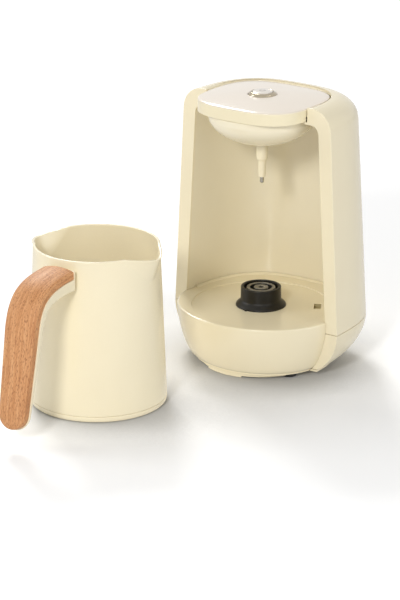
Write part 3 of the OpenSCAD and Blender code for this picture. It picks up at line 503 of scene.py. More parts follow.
# front frame: two flat sides and the ceiling
def slabPiece(outline, y0, y1, edge):  # a flat outline in X and Z, rounded on its front edges
    work = bmesh.new()
    front = [work.verts.new((x, y0, z)) for x, z in outline]
    back = [work.verts.new((x, y1, z)) for x, z in outline]
    n = len(outline)
    face = work.faces.new(front)
    work.faces.new(list(reversed(back)))
    for i in range(n):
        work.faces.new((front[i], back[i], back[(i + 1) % n], front[(i + 1) % n]))
    bmesh.ops.recalc_face_normals(work, faces=work.faces)
    bmesh.ops.bevel(
        work, geom=list(face.edges), offset=edge, segments=3, profile=0.5, affect="EDGES", clamp_overlap=True)
    work.verts.index_update()
    part = [tuple(v.co) for v in work.verts], [tuple(v.index for v in f.verts) for f in work.faces]
    work.free()
    return part


def frameOutline():
    notch, ledge = lid["halfWidth"] + lid["gap"], lid["halfWidth"] - 3.3
    points = [(shellWide(z), z) for z in steps(beltZ + seamGap, shoulderZ, 5)]
    for a in range(5, 91, 5):
        z = shoulderZ + shell["shoulder"] * sin(radians(a))
        points.append((shellWide(z), z))
    points += [(notch, topZ), (notch, skirtZ - 0.3), (ledge, skirtZ - 0.3), (ledge, ceilZ)]
    for a in range(90, -1, -9):
        z = ceilZ - corner + corner * sin(radians(a))
        points.append((nicheWide(z) - corner + corner * cos(radians(a)), z))
    return points + [(nicheWide(z), z) for z in steps(160, beltZ + seamGap, 4)]


side = slabPiece(frameOutline(), frontY, coverY, 0.45)
rows = []
holeR, plateY, edge = dr + 0.35, frontY + 0.4, 0.35
a0 = asin(plateY / holeR)
highZ = ceilZ + niche["ceilThick"]
for j in range(97):
    u = j / 96
    x, y, _ = nichePoint(u, ceilZ - corner, 1.2, plateY)
    a = a0 + (pi - 2 * a0) * u
    hx, hy = holeR * cos(a), holeR * sin(a)
    k = 1 + edge / holeR
    row = [(x, y, ceilZ), (hx * k, hy * k, ceilZ), (hx, hy, ceilZ + edge)]
    rows.append(row + [(hx, hy, highZ), (x, y, highZ)])
frontFrame = merge(side, mirrored(side), loft(rows, caps=True))
makePiece("frontFrame", frontFrame, glossCream, "machine", ["front_frame"])


def linerLoop(u):
    low, cornerZ = plateZ - 3.2, ceilZ - corner
    loop = [nichePoint(u, z, niche["wall"]) for z in steps(low, cornerZ, 8)]
    x, y, _ = nichePoint(u, cornerZ, niche["wall"] - 0.2)
    loop.append((x, y, ceilZ - 0.05))
    loop += [nichePoint(u, cornerZ - 0.05 + corner * sin(radians(a))) for a in range(90, -1, -9)]
    return loop + [nichePoint(u, z) for z in steps(190, low, 8)]


liner = loft([linerLoop(j / 120) for j in range(121)], caps=True)
makePiece("nicheLiner", liner, nicheCreamPaintedLighter, "machine", ["niche_liner"])
print("cover, frame and niche built")

# lower housing: the shell below the belt line, with a cheek each side of the bowl
lowLevels = [6.0, 7.5, 9.5, 12, 14.5, 17, 19.5, 22, 25, 28, 31, 34, 37]


def bowlWide(z):
    q = min(max((plateZ - z) / (plateZ - base["lowZ"]), 0), 1)
    full = base["fullness"]
    return base["lowWidth"] + (base["bowlWidth"] - base["lowWidth"]) * (1 - q ** full) ** (1 / full)


def housingLoop(u, y, t):
    top = beltZ - seamGap
    loop = [shellPoint(u, z, t, y) for z in lowLevels]
    loop += [shellPoint(u, top - d, q + t, y) for d, q in reversed(seamEdge)]
    return loop + [shellPoint(u, z, wall - t, y) for z in [top] + lowLevels[::-2]]


levels = lowLevels + [beltZ - seamGap]
outline = [(shellWide(z), z) for z in levels] + [(0.985 * bowlWide(z) - 1.4, z) for z in reversed(levels)]
cheek = slabPiece(outline, frontY, coverY, 0.4)
housing = merge(sweepRound(housingLoop), cheek, mirrored(cheek))
makePiece("lowerHousing", housing, glossCream, "machine", ["lower_housing"])


# seat bowl: the round front wall, the seat plate and the ledge at the niche's foot
def bowlPoint(u, z, t=0.0):
    w = bowlWide(z) - t
    e = asin((shell["faceDepth"] + 0.2) / (w * base["flat"]))
    a = pi + e + (pi - 2 * e) * u
    return w * cos(a), w * base["flat"] * sin(a), z


bowlLevels = [base["lowZ"], 7, 8.5, 10, 12, 14.5, 17, 20, 23, 26, 29.5, 33, 37, 41, 44.5, plateZ - 1.5]
rows = []
for j in range(129):
    u = j / 128
    row = [bowlPoint(u, z) for z in bowlLevels]
    for b in (radians(a) for a in range(15, 91, 15)):
        row.append(bowlPoint(u, plateZ - 1.5 + 1.5 * sin(b), 1.5 - 1.5 * cos(b)))
    row.append(bowlPoint(u, plateZ - 2, 2.2))
    row += [bowlPoint(u, z, 2.4) for z in (41, 33, 26, 20, 15, 11, 8, base["lowZ"])]
    rows.append(row)
bowlWall = loft(rows, caps=True)
outline = [nichePoint(j / 100, plateZ, -0.3, frontY - 0.2)[:2] for j in range(101)]
outline += [bowlPoint(j / 100, plateZ, 1.5)[:2] for j in range(101)]
seatZ, plateLow, hole = plateZ - base["seatDip"], plateZ - base["plateThick"], base["hole"]
seatEdge = [(0.45, 0), (0.13, 0.13), (0, 0.42), (-0.05, 0.62), (-0.2, 0.86), (-0.55, 1.0)]  # out, down
rows = []
for x, y in outline:
    r = hypot(x, y)
    c, s = x / r, y / r
    row = [(x, y, plateLow), (x, y, plateZ)]
    row += [(c * (base["seatRadius"] + q), s * (base["seatRadius"] + q), plateZ - d) for q, d in seatEdge]
    rows.append(row + [(c * hole, s * hole, seatZ), (c * hole, s * hole, plateLow)])
plate = loft(rows, closed=True)
ledgeEdge = [(-0.4, -0.3), (1.4, -0.35), (1.4, -1.7), (1.25, -2.1), (0.9, -2.5), (-0.4, -4.0)]  # up, in
rows = [[nichePoint(j / 100, plateZ + d, q, 2) for d, q in ledgeEdge] for j in range(101)]
ledge = loft(rows, caps=True)
seat = makePiece("seatBowl", merge(bowlWall, plate, ledge), glossCream, "machine", [])
drain = {"at": (41.6, 23.4), "wide": 6.0, "long": 12.5, "turn": 30, "deep": 3.6}
halfWide, halfLong = drain["wide"] / 2, drain["long"] / 2
cut = block(-halfWide, -halfLong, -drain["deep"], halfWide, halfLong, 5)
cut = placed(cut, (*drain["at"], plateZ), drain["turn"])
cutter = addObject("drainCut", rawMesh("drainCut", cut))
# the cut faces of the pocket carry its painted shade
cutter.data.materials.append(pocketPaintedShade)
trim = seat.modifiers.new("drain", "BOOLEAN")
trim.operation, trim.object, trim.solver, trim.material_mode = "DIFFERENCE", cutter, "EXACT", "TRANSFER"
seat.modifiers.move(1, 0)
flat = bake(seat)
seat.modifiers.remove(trim)
seat.data = flat
bpy.data.objects.remove(cutter)
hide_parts("seat_bowl")
print("base built")

# connector: a boss with two grooves, in which the contacts stand
connector = {"radius": 17.0, "height": 15.7, "grooveDeep": 7.2}
bossTop = plateZ + connector["height"]
grooveZ = bossTop - connector["grooveDeep"]
rb = connector["radius"]
ring, pin = (rb - 8.6, rb - 4.8), (2.1, rb - 10.8)  # inner and outer radius
z0 = seatZ + 0.02
bossProfile = [
    (rb - 2.6, 42.4, 0), (rb + 1.4, 42.4, 0), (rb + 1.4, z0, 0), (rb + 4.2, z0, 0), (rb + 4.2, z0 + 1.0, 0.4),
    (rb + 3.5, z0 + 1.8, 0.6), (rb + 0.9, z0 + 4.2, 0.8), (rb + 0.1, z0 + 5.4, 1.0), (rb, bossTop - 3, 0.4),
    (rb - 0.05, bossTop, 0.8), (rb - 2.1, bossTop, 0.4), (rb - 2.5, bossTop - 0.7, 0.2),
    (rb - 2.5, bossTop - 6, 0), (ring[1] + 0.1, bossTop - 6, 0), (ring[1] + 0.05, grooveZ, 0),
    (ring[0] - 0.05, grooveZ, 0), (ring[0] - 0.1, bossTop - 6, 0), (pin[1] + 0.1, bossTop - 6, 0),
    (pin[1] + 0.05, grooveZ, 0), (1.6, grooveZ, 0), (1.6, grooveZ - 3.8, 0), (rb - 2.6, grooveZ - 3.8, 0),
]
tab = placed(block(rb + 2.8, -1.1, z0, rb + 5.4, 1.1, z0 + 1.1), degrees=-91)
boss = merge(turned(bossProfile), tab)
makePiece("connectorBoss", boss, blackNylon, "machine", ["connector_boss"])


def contactTube(name, r0, r1, top, node):
    profile = [(r0, grooveZ + 0.05, 0), (r1, grooveZ + 0.05, 0), (r1, top, 0.35), (r0, top, 0.35)]
    makePiece(name, turned(profile), contactMetal, "machine", [node])


contactTube("contactRing", ring[0] + 0.9, ring[1], bossTop - 0.9, "contact_ring")
contactTube("contactPin", pin[0], pin[1], bossTop - 1.0, "contact_pin")
print("connector built")

# head: the dome and its pan, the probe, the lid and the button
domeZ = ceilZ - head["domeDepth"]
lowDome = domeZ + head["flatter"]  # underside of the dome
panZ = skirtZ + 0.3


def domeCurve(r, lift, count):
    deep = head["domeDepth"] - head["flatter"] - 2.5
    return [(r * sin(a), lowDome + lift + deep * (1 - cos(a) ** 1.15)) for a in steps(0, pi / 2, count)]


dome = [(dr - 2.4, panZ + 0.2), (dr - 2.4, skirtZ - 0.3), (dr - 0.4, skirtZ - 0.3)]
dome += [(dr, skirtZ - 0.7), (dr, ceilZ - 2)] + domeCurve(dr, 0, 40)[::-1][1:-1]
dome += [(3.6, lowDome), (3.2, lowDome + 0.3), (3.2, domeZ + 12), (6.4, domeZ + 12), (6.4, lowDome + 2.2)]
dome += [p for p in domeCurve(dr - 2.2, 2, 14) if p[0] > 7] + [(dr - 4, panZ + 0.2)]
rows = []
for j in range(120):
    a = 2 * pi * j / 120
    x = (lid["halfWidth"] - 2.6) * signPower(cos(a), power)
    y = lid["centreY"] + (lid["halfDepth"] - 2.6) * signPower(sin(a), power)
    q = (dr - 4) / hypot(x, y)
    highZ = panZ + head["panThick"]
    rows.append([(x * q, y * q, panZ), (x, y, panZ), (x, y, highZ), (x * q, y * q, highZ)])
headPan = merge(lathe(dome, 192), loft(rows, closed=True))
makePiece("headPan", headPan, nicheCreamPaintedLighter, "machine", ["head_pan"])

s0 = domeZ - head["probeLength"] + 5.3
sleeve = [
    (1.75, s0 + 0.3, 0), (1.95, s0, 0), (2.7, s0, 0.3), (3.0, s0 + 0.8, 0.4), (3.35, s0 + 12.8, 0.8),
    (3.6, s0 + 14.2, 0.6), (4.6, s0 + 15.6, 0.8), (4.75, s0 + 17.0, 0.8), (4.75, lowDome - 0.05, 0),
    (3.15, lowDome - 0.05, 0), (3.15, domeZ + 12.4, 0), (1.75, domeZ + 12.4, 0),
]
makePiece("probeSleeve", turned(sleeve, 72), glossCream, "machine", ["probe_sleeve"])
t0 = domeZ - head["probeLength"]
tip = [
    (0, t0, 0), (1.05, t0, 0.4), (1.7, t0 + 0.7, 0.4), (1.7, t0 + 3.2, 0), (1.55, t0 + 3.35, 0),
    (1.55, t0 + 3.65, 0), (1.7, t0 + 3.8, 0), (1.7, domeZ + 14, 0), (0, domeZ + 14, 0),
]
makePiece("probeTip", turned(tip, 48), steelTip, "machine", ["probe_tip"])

button = {"radius": 8.4, "collar": 11.9}
cutY = frontY - 0.3  # where the lid's skirt meets the frame
cutA = asin(-(((lid["centreY"] - cutY) / lid["halfDepth"]) ** (1 / power)))
cuts = (pi - cutA, 2 * pi + cutA)
lidAngles = [a for a in (2 * pi * j / 192 for j in range(192)) if min(abs(a - cut) for cut in cuts) > 0.01]
lidAngles = sorted(lidAngles + [cut + aside for cut in cuts for aside in (-1e-5, 1e-5)])
lidLow = panZ + head["panThick"] + 2.1
hr, er = button["collar"] + 0.3, lid["edge"]
topShares = (0.955, 0.92, 0.87, 0.80, 0.72, 0.64, 0.56, 0.48, 0.40, 0.33, 0.28)  # 1 is the lid's edge


def lidTop(s):
    return lidZ + lid["crown"] * (1 - s * s)


def lidRow(a):
    ca, sa = signPower(cos(a), power), signPower(sin(a), power)
    low = skirtZ if lid["centreY"] + lid["halfDepth"] * sa < cutY else lidLow

    def at(s, t, z):
        return (s * (lid["halfWidth"] + t) * ca, lid["centreY"] + s * (lid["halfDepth"] + t) * sa, z)

    row = [at(1, -0.35, low), at(1, -0.08, low + 0.1), at(1, 0, low + 0.4)]
    row += [at(1, 0, z) for z in steps(224.5, lidZ - er, 2)]
    row += [at(1, -er + er * cos(b), lidZ - er + er * sin(b)) for b in steps(0, pi / 2 * 0.93, 5)[1:]]
    row += [at(s, 0, lidTop(s) - 0.02) for s in topShares]
    hx, hy, holeZ = hr * cos(a), hr * sin(a), lidTop(0.24)
    row += [(hx * 1.02, hy * 1.02, holeZ), (hx, hy, holeZ - 0.3), (hx, hy, holeZ - 2.2)]
    row += [at(s, 0, lidTop(s) - 2.2) for s in (0.45, 0.65, 0.82, 0.93)]
    return row + [at(1, -2.2, lidZ - 2.4), at(1, -2.2, low + 0.3), at(1, -1.9, low)]


lidPart = loft([lidRow(a) for a in lidAngles], closed=True)
makePiece("lidPanel", lidPart, lidCream, "machine", ["lid_panel"])

cr, br = button["collar"], button["radius"]
collar = [
    (br + 0.35, lidMid - 3.3, 0), (br + 1.5, lidMid - 3.3, 0), (cr, lidMid - 2.3, 0), (cr, lidMid - 0.4, 0.2),
    (cr - 0.55, lidMid + 0.2, 0.3), (cr - 1.0, lidMid + 1.1, 0.8), (cr - 2.2, lidMid + 1.9, 0.6),
    (br + 0.6, lidMid + 2.0, 0.2), (br + 0.35, lidMid + 1.6, 0),
]
makePiece("buttonCollar", turned(collar), chromeRing, "machine", ["button_collar"])
capTop = lidMid + 2.85
cap = [
    (0, lidMid - 3.35, 0), (3.0, lidMid - 3.35, 0), (3.0, lidMid - 0.9, 0), (br - 1.4, lidMid - 0.9, 0),
    (br - 1.4, lidMid - 2.9, 0), (br, lidMid - 2.9, 0), (br, lidMid + 2.2, 0.7),
]
cap += [(r, capTop - 0.55 * (r / br) ** 2, 0) for r in (7.4, 6.4, 5.2, 4.0, 2.8, 1.5, 0)]
makePiece("buttonCap", turned(cap), capWhite, "button", ["button_cap"])
print("head built")


def startTree(name, inputs):  # a geometry tree with named number inputs and their first values
    tree = bpy.data.node_groups.new(name, "GeometryNodeTree")
    for way in ("INPUT", "OUTPUT"):
        tree.interface.new_socket(name="Geometry", in_out=way, socket_type="NodeSocketGeometry")
    for label, value in inputs.items():
        kind = "NodeSocketInt" if isinstance(value, int) else "NodeSocketFloat"
        tree.interface.new_socket(name=label, in_out="INPUT", socket_type=kind).default_value = value
    return tree, addNode(tree, "NodeGroupInput").outputs


def endTree(tree, geometry, material):
    plain = addNode(tree, "GeometryNodeRealizeInstances", {"Geometry": geometry})
    painted = addNode(tree, "GeometryNodeSetMaterial", {"Geometry": plain, "Material": material})
    addNode(tree, "NodeGroupOutput", {0: painted})


def growPiece(name, source, tree, values, material, body, nodes):
    piece = addObject(name + "Seed", source)
    grow = piece.modifiers.new(name, "NODES")
    grow.node_group = tree
    for item in tree.interface.items_tree:
        if item.item_type == "SOCKET" and item.in_out == "INPUT" and item.name in values:
            grow[item.identifier] = values[item.name]
    piece.update_tag()
    mesh = bake(piece)
    mesh.name = name
    piece.modifiers.remove(grow)
    bpy.data.objects.remove(piece)
    finishMesh(mesh)
    return dressPiece(name, mesh, material, body, nodes)


def setDown(tree, given, geometry, height=0.0):  # turned and moved to the jug's place
    place = addNode(tree, "ShaderNodeCombineXYZ", {0: given["Place X"], 1: given["Place Y"], 2: height})
    way = addNode(tree, "ShaderNodeCombineXYZ", {2: given["Turn"]})
    links = {"Geometry": geometry, "Translation": place, "Rotation": way}
    return addNode(tree, "GeometryNodeTransform", links)


# jug body: a tapered wall with a folded spout each side, shaped by rule
jug = {
    "place": (-53.0, -155.3), "turn": 5.3, "radius": 56.0, "rimRadius": 51.0, "height": 133.4, "wall": 2.3,
    "seamZ": 5.2, "floorZ": 30.0, "spoutOut": 8.0, "spoutDip": 4.2, "spoutHalf": 31.0, "spoutDeep": 24.0,
    "ridge": 0.16, "foldPower": 1.4,
}
h, w, jr, seamZ, floorZ = jug["height"], jug["wall"], jug["radius"], jug["seamZ"], jug["floorZ"]
jugTurn = radians(jug["turn"])


def jugRadius(z):
    return jr - (jr - jug["rimRadius"]) * (z - seamZ) / (h - seamZ)


jugSpot = {"Turn": jugTurn, "Place X": jug["place"][0] * mm, "Place Y": jug["place"][1] * mm}
jugValues = {
    "Foot Radius": jr * mm, "Rim Radius": jug["rimRadius"] * mm, "Foot Height": seamZ * mm,
    "Rim Height": h * mm, "Spout Reach": jug["spoutOut"] * mm, "Spout Dip": jug["spoutDip"] * mm,
    "Spout Half Angle": jug["spoutHalf"], "Spout Depth": jug["spoutDeep"] * mm, "Ridge": jug["ridge"],
    **jugSpot,
}
tree, given = startTree("jugWall", jugValues)


def op(kind, *values):
    return calc(tree, kind, *values)


# the seed's x is degrees round, its y is the inset and its z is the height
seedAt = addNode(tree, "GeometryNodeInputPosition")
around, inset, rise = addNode(tree, "ShaderNodeSeparateXYZ", {0: seedAt}).outputs
lip = addNode(tree, "GeometryNodeInputNamedAttribute", {"Name": "lip"}, data_type="FLOAT").outputs[0]
start = op("SUBTRACT", given["Rim Height"], given["Spout Depth"])
reach = op("DIVIDE", op("SUBTRACT", rise, start), given["Spout Depth"])
reach = op("MINIMUM", op("MAXIMUM", reach, 0.001), 1.0)  # 0 at the spout's foot, 1 at the rim
rounded = op("POWER", op("MAXIMUM", reach, lip), 0.6)  # a rounded foot to the V
spread = op("MULTIPLY", given["Spout Half Angle"], rounded)
about = op("PINGPONG", around, 0.09)  # 0.001 stands for a degree: 0 at each spout, 0.09 between them
aside = op("DIVIDE", op("MULTIPLY", about, 1000.0), spread)
ridge = given["Ridge"]
soft = op("SUBTRACT", op("SQRT", op("MULTIPLY_ADD", aside, aside, op("MULTIPLY", ridge, ridge))), ridge)
whole = op("SUBTRACT", op("SQRT", op("MULTIPLY_ADD", ridge, ridge, 1.0)), ridge)
peak = op("POWER", op("MAXIMUM", op("SUBTRACT", 1.0, op("DIVIDE", soft, whole)), 0.0), jug["foldPower"])
wallHigh = op("SUBTRACT", given["Rim Height"], given["Foot Height"])
share = op("DIVIDE", op("SUBTRACT", rise, given["Foot Height"]), wallHigh)
lean = op("MULTIPLY", op("SUBTRACT", given["Foot Radius"], given["Rim Radius"]), share)
radius = op("SUBTRACT", op("SUBTRACT", given["Foot Radius"], lean), inset)
radius = op("MULTIPLY_ADD", op("MULTIPLY", peak, reach), given["Spout Reach"], radius)
angle = op("MULTIPLY", around, 1000 * pi / 180)
fall = op("MULTIPLY", op("MULTIPLY", op("POWER", peak, 0.65), op("POWER", reach, 3.0)), given["Spout Dip"])
spotX, spotY = (op("MULTIPLY", radius, op(kind, angle)) for kind in ("COSINE", "SINE"))
spotAt = addNode(tree, "ShaderNodeCombineXYZ", {0: spotX, 1: spotY, 2: op("SUBTRACT", rise, fall)})
shaped = addNode(tree, "GeometryNodeSetPosition", {"Geometry": given[0], "Position": spotAt})
endTree(tree, setDown(tree, given, shaped), jugCream)

spoutFoot = h - jug["spoutDeep"]
lipUp, lipIn = steps(0, pi / 2, 4), steps(pi / 2, 0, 4)
ladder = [(seamZ + 0.15, 0.35, 0), (seamZ + 0.3, 0.1, 0), (seamZ + 0.7, 0, 0)]  # height, inset, on the lip
ladder += [(z, 0, 0) for z in [25, 45, 65, 85, 98] + steps(spoutFoot, h - 2, 14)]
ladder += [(h - 0.9 + 0.9 * sin(b), 0.9 - 0.9 * cos(b), 1) for b in lipUp]
ladder += [(h - 0.9 + 0.9 * sin(b), w - 0.9 + 0.9 * cos(b), 1) for b in lipIn]
ladder += [(z, w, 0) for z in steps(h - 2, spoutFoot, 14) + [98, 85, 65, 45, floorZ + 0.1]]
ladder += [
    (floorZ + 0.1, w + 4.9, 0), (floorZ - 1.6, w + 4.9, 0), (floorZ - 3.4, w + 3.3, 0), (floorZ - 4.4, w, 0),
    (seamZ + 0.15, w, 0),
]
turns = [a + half for half in (0, 180) for a in steps(-38, 38, 76) + steps(38, 142, 40)[1:-1]]
source = rawMesh("jugSeed", loft([[(a, inset, z) for z, inset, _ in ladder] for a in turns], closed=True))
flags = source.attributes.new("lip", "FLOAT", "POINT")
flags.data.foreach_set("value", [float(flag) for _ in turns for _, _, flag in ladder])
growPiece("jugBody", source, tree, jugValues, jugCream, "jug", ["jug_body"])


def atJug(part):
    return placed(part, (*jug["place"], 0), jug["turn"])


socket = {"outer": 25.3, "top": 17.4}
so, sz = socket["outer"], socket["top"]
cover = [
    (so + 0.3, 0.8, 0), (so + 0.9, 0, 0), (jr - 2.9, 0, 0), (jr - 1.4, 0.6, 0.8), (jr - 0.4, 1.7, 0.8),
    (jr, 3.2, 0.8), (jr, 4.6, 0), (jr - 0.12, 4.95, 0), (jr - 0.45, seamZ, 0), (jr - w - 0.4, seamZ, 0),
    (jr - w - 0.4, seamZ + 2.3, 0.3), (jr - w - 2, seamZ + 2.3, 0.3), (jr - w - 2, 2.2, 0),
    (so + 0.3, 2.2, 0),
]
makePiece("jugBaseCover", atJug(turned(cover, 192)), jugCream, "jug", ["jug_base_cover"])
well = [
    (rb + 5.6, 0.6, 0.3), (so, 0.6, 0.3), (so, 2.3, 0), (so + 4.7, 2.3, 0.2), (so + 4.7, 4.3, 0.2),
    (so, 4.3, 0), (so, sz + 2.8, 0.5), (3.0, sz + 2.8, 0), (3.0, sz, 0), (rb + 0.9, sz, 0.6),
    (rb + 0.9, 6.6, 1.5), (rb + 5.6, 3.2, 1.0),
]
makePiece("jugSocket", atJug(turned(well)), blackNylon, "jug", ["jug_socket"])
fi = jugRadius(floorZ) - w
disc = [
    (0, 28.8, 0), (fi - 8.3, 28.8, 0.6), (fi - 6.1, 30.25, 0.6), (fi - 2.4, 30.25, 0.2),
    (fi - 2.4, 31.2, 0.2), (fi - 6.7, 31.2, 1.2), (fi - 8.7, 30, 1.2), (0, 30, 0),
]
makePiece("heatingPlate", atJug(turned(disc)), platePolished, "jug", ["heating_plate"])
seal = [
    (fi - 2.3, 30.15, 0), (fi - 0.8, 30.15, 0.3), (fi - 1.0, 31.9, 0.5), (fi - 3.3, 31.9, 0.5),
    (fi - 3.3, 31.25, 0), (fi - 2.3, 31.25, 0),
]
makePiece("plateSeal", atJug(turned(seal)), sealSilicone, "jug", ["plate_seal"])
print("jug built")

# grip: a wooden strip on a moulded core that shows as a thin edge all round it
grip = {
    "out": 55.2, "stand": 4.2, "width": 28.0, "slim": 1.9, "thick": 6.2, "crown": 2.2, "low": 16.0,
    "edge": 1.3, "lip": 0.8, "deepTop": 16.0, "deepLow": 9.0, "drawnIn": 0.34,
}
woodY, gy, gz = -jug["rimRadius"] - grip["stand"], -jr - grip["out"], h - 41.4
curveA = [(woodY, h - 6.6), (woodY - 33.4, h - 7), (gy + 5.8, gz + 29.1), (gy, gz)]
curveB = [(gy, gz), (gy - 5.2, gz - 26), (gy - 10.5, gz - 51), (gy - 17, gz - 82)]


def bezier(p, t):
    blends = ((1 - t) ** 3, 3 * (1 - t) ** 2 * t, 3 * (1 - t) * t * t, t ** 3)
    return [sum(b * point[k] for b, point in zip(blends, p)) for k in (0, 1)]


def gripLine(v, depth=0.0):  # v is 0 to 1 round the bend and 1 to 2 down the grip; depth is under the face
    p, t = (curveA, v) if v <= 1 else (curveB, v - 1)
    y, z = bezier(p, t)
    y0, z0 = bezier(p, t - 0.001)
    y1, z1 = bezier(p, t + 0.001)
    n = hypot(y1 - y0, z1 - z0)
    return y - depth * (z1 - z0) / n, z + depth * (y1 - y0) / n


def coreDepth(v):  # the moulded back: deep at the jug, slim at the end
    bend = grip["deepTop"] - 4
    return grip["deepTop"] - 4 * v if v <= 1 else bend - (bend - grip["deepLow"]) * (v - 1)


def roundOff(radius, distance):
    return radius - sqrt(max(radius ** 2 - max(radius - distance, 0) ** 2, 0))


def heightAt(z):  # v where the outer line is at this height
    low, high = 1.0, 2.0
    for _ in range(30):
        middle = (low + high) / 2
        low, high = (middle, high) if gripLine(middle)[1] > z else (low, middle)
    return low


def gripStrip(wider, depthTop, depthLow, topEdge, lowEdge, crown=0.0):
    across = [sin(a) for a in steps(-pi / 2, pi / 2, 26)]
    half = grip["width"] / 2 + wider
    endHalf = half - grip["slim"]
    endZ = grip["low"] - wider + endHalf
    heights = steps(gz, endZ, 26)[1:] + [endZ - endHalf * sin(a) for a in steps(0, pi / 2, 16)[1:]]
    stations = [(t, 0) for t in steps(0, 1, 44)] + [(heightAt(z), z) for z in heights]
    rows, stretch = [], []
    for v, z in stations:
        drawn = half if v <= 1 else endHalf + grip["slim"] * max(z - endZ, 0) / (gz - endZ)
        sunk = max(endZ - z, 0) if v > 1 else 0
        reach = sqrt(max(drawn ** 2 - sunk ** 2, 0))
        row = []
        for outer in (True, False):
            for f in (across if outer else across[::-1]):
                out = hypot(reach * f, sunk)
                push = roundOff(topEdge if outer else lowEdge, drawn - out)
                depth = depthTop(v) + push - crown * (1 - (out / drawn) ** 2) if outer else depthLow(v) - push
                row.append((reach * f, *gripLine(v, depth)))
                stretch.append((reach * f, v * 78, depth))
        rows.append(row)
    return rows, stretch


rows, stretch = gripStrip(0.0, lambda v: 0.0, lambda v: grip["thick"], grip["edge"], 0.4, grip["crown"])
woodMesh = rawMesh("woodGrip", atJug(loft(rows, caps=True)))
field = woodMesh.attributes.new("grain", "FLOAT_VECTOR", "POINT")
field.data.foreach_set("vector", [c * mm for p in stretch for c in p])
finishMesh(woodMesh, 50)
dressPiece("woodGrip", woodMesh, beechWood, "jug", ["wood_grip"])

# the core's top end is a pad that runs in to the jug's wall, with its front edge rounded
pad = {"top": h - 6.6 + grip["lip"], "face": woodY + 0.1, "round": 0.6}
rows, _ = gripStrip(grip["lip"], lambda v: grip["thick"] + 0.1, coreDepth, 0.3, 2.2)
goal = pad["face"] + pad["round"]
padRows = []
for share in [0.0, 0.3, 0.6, 0.85] + [1.0 + a for a in steps(0, 1, 5)] + [None]:
    last = share is None  # the last row takes its heights from the strip's first row
    share = 2.0 if last else share
    row = []
    for i, (x, y, z) in enumerate(rows[0]):
        isTop = i < len(rows[0]) // 2
        inward = grip["drawnIn"] * max(1 - share, 0)
        x *= 1 - inward
        edgeFall = roundOff(0.6, grip["width"] / 2 + grip["lip"] - abs(x))
        height = pad["top"] - 9 * inward - edgeFall if isTop else z
        wallY = -sqrt((jugRadius(height) - 0.4) ** 2 - x * x)
        if share <= 1:
            spotY, spotZ = wallY + (goal - wallY) * share, height
        else:
            a = (share - 1) * pi / 2
            spotY = goal - pad["round"] * sin(a)
            spotZ = height - (pad["round"] * (1 - cos(a)) if isTop else 0)
        row.append((x, spotY, z if last and isTop else spotZ))
    padRows.append(row)
core = atJug(loft(padRows + rows, caps=True))
makePiece("handleCore", core, jugCream, "jug", ["handle_core"], sharp=50)
print("grip built")

# four feet in two pairs
feet = {"Front Spread": 0.0426, "Front Y": -0.0195, "Rear Spread": 0.028, "Rear Y": 0.0375}  # metres
tree, given = startTree("rubberFeet", feet)
pairs = []
for label in ("Front", "Rear"):
    spread = given[label + " Spread"]
    first = {0: calc(tree, "MULTIPLY", spread, -1.0), 1: given[label + " Y"]}
    first = addNode(tree, "ShaderNodeCombineXYZ", first)
    gapAcross = addNode(tree, "ShaderNodeCombineXYZ", {0: calc(tree, "MULTIPLY", spread, 2.0)})
    pair = {"Count": 2, "Start Location": first, "Offset": gapAcross}
    pairs.append(addNode(tree, "GeometryNodeMeshLine", pair))
spots = addNode(tree, "GeometryNodeJoinGeometry", {"Geometry": pairs[0]})
tree.links.new(pairs[1].outputs[0], spots.inputs[0])
rubber = addNode(tree, "GeometryNodeInstanceOnPoints", {"Points": spots, "Instance": given[0]})
endTree(tree, rubber, feetRubber)
foot = turned([(0, 0, 0), (5.6, 0, 0.4), (6.2, 0.6, 0.4), (6.2, 3.15, 0), (0, 3.15, 0)], 64)
foot = solidMesh("footSeed", foot)
footNodes = ["foot_front_right", "foot_front_left", "foot_rear_right", "foot_rear_left"]
growPiece("rubberFeet", foot, tree, feet, feetRubber, "machine", footNodes)

# screws: a pan head with a recess, set out along a line
axes = [label + axis for label in ("Start ", "Step ") for axis in "XYZ"]
tree, given = startTree("screwRow", {"Count": 2, **dict.fromkeys(axes, 0.0), "Tip": 0.0, "Turn": 0.0})
begin = addNode(tree, "ShaderNodeCombineXYZ", {k: given[axis] for k, axis in enumerate(axes[:3])})
stride = addNode(tree, "ShaderNodeCombineXYZ", {k: given[axis] for k, axis in enumerate(axes[3:])})
line = {"Count": given["Count"], "Start Location": begin, "Offset": stride}
line = addNode(tree, "GeometryNodeMeshLine", line)
way = addNode(tree, "ShaderNodeCombineXYZ", {0: given["Tip"], 2: given["Turn"]})
screws = {"Points": line, "Instance": given[0], "Rotation": way}
endTree(tree, addNode(tree, "GeometryNodeInstanceOnPoints", screws), screwZinc)


def screwPart(headRadius, headHigh, shankRadius, length):  # head at the bottom, tip up
    profile = [(0, 0.5, 0), (headRadius * 0.45, 0.35, 0), (headRadius * 0.5, 0, 0.1), (headRadius, 0, 0.35)]
    profile += [(headRadius, headHigh, 0.1), (shankRadius, headHigh, 0), (shankRadius, length, 0.4)]
    return turned(profile + [(0, length, 0)], 40)


def growScrews(name, part, values, body, node):
    growPiece(name, solidMesh(name + "Part", part), tree, values, screwZinc, body, [node])


baseScrews = {"Count": 2, "Start X": -0.036, "Start Y": -0.012, "Start Z": 0.0044, "Step X": 0.072}  # metres
growScrews("baseScrews", screwPart(3.2, 2.5, 1.65, plateZ - 11), baseScrews, "machine", "base_screws")
screwSpots = [(0, gy - 0.205 * (gz - z) + grip["thick"] + 2.4, z) for z in (40, 66)]
lowScrew, highScrew = (Vector(p) * mm for p in atJug((screwSpots, []))[0])
stepUp = highScrew - lowScrew
gripScrews = {"Count": 2, "Tip": pi / 2, "Turn": jugTurn, **dict(zip(axes, (*lowScrew, *stepUp)))}
growScrews("gripScrews", screwPart(2.6, 1.3, 1.2, 6.5), gripScrews, "jug", "grip_screws")

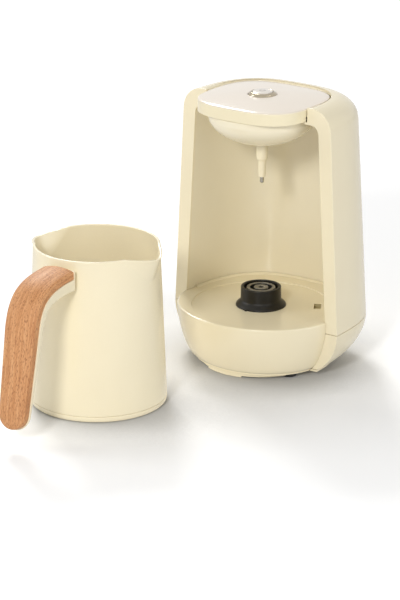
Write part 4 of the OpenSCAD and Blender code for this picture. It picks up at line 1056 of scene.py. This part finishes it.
# spring leaves standing round the jug's socket
leafValues = {"Leaves": 4, "Radius": (ring[1] + 0.7) * mm, "Height": (sz - 4.9) * mm, **jugSpot}
tree, given = startTree("leafRing", leafValues)
hoop = addNode(tree, "GeometryNodeMeshCircle", {"Vertices": given["Leaves"], "Radius": given["Radius"]})
face = calc(tree, "MULTIPLY", addNode(tree, "GeometryNodeInputIndex"), 2 * pi)
face = addNode(tree, "ShaderNodeCombineXYZ", {2: calc(tree, "DIVIDE", face, given["Leaves"])})
leaves = {"Points": hoop, "Instance": given[0], "Rotation": face}
leaves = addNode(tree, "GeometryNodeInstanceOnPoints", leaves)
endTree(tree, setDown(tree, given, leaves, given["Height"]), contactMetal)
leafOutline = ((0, 0), (0.5, -0.1), (1.2, 0.9), (1.2, 4.85), (0, 4.85))
leaf = loft([[(x, y, z) for x, z in leafOutline] for y in (-2, -1.7, 1.7, 2)], caps=True)
leaf = solidMesh("leafSeed", leaf)
growPiece("socketRing", leaf, tree, leafValues, contactMetal, "jug", ["socket_ring"])
prong = [
    (0, sz - 8.2, 0), (1.2, sz - 8.2, 0.5), (1.7, sz - 7.2, 0.5), (1.7, sz + 0.05, 0), (2.9, sz + 0.05, 0),
    (2.9, sz + 2.7, 0.2), (0, sz + 2.7, 0),
]
makePiece("socketProng", atJug(turned(prong, 48)), contactMetal, "jug", ["socket_prong"])

# printed symbol on the button: an open ring with a bar
mark = {"radius": 2.3, "line": 0.55, "gap": 38, "high": 0.012}
half = mark["line"] / 2
section = ((-half, -0.1), (half, -0.1), (half, mark["high"]), (-half, mark["high"]))
middle, arc = mark["radius"], []
for a in steps(radians(90 + mark["gap"]), radians(450 - mark["gap"]), 48):
    arc.append([((middle + s) * cos(a), (middle + s) * sin(a), capTop + d) for s, d in section])
bar = block(-half, 0.7, capTop - 0.1, half, 2.9, capTop + mark["high"])
makePiece("buttonMark", merge(loft(arc, caps=True), bar), inkGrey, "button", [], weighted=False)

plain = {
    "base_plate": glossCream, "connector_base": socketWhite, "power_board": boardGreen, "relay": relayBlue,
    "transformer": copperCoil, "filter_capacitor": canSleeve, "ribbon_cable": ribbonGrey,
    "cord_gland": feetRubber, "control_board": boardGreen, "switch_body": switchBlack,
    "switch_plunger": plungerIvory, "heating_element": elementSheath, "thermostat": switchBlack,
}
for node, material in plain.items():
    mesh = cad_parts[node].data
    mesh.materials.clear()
    mesh.materials.append(material)
print("small pieces built")
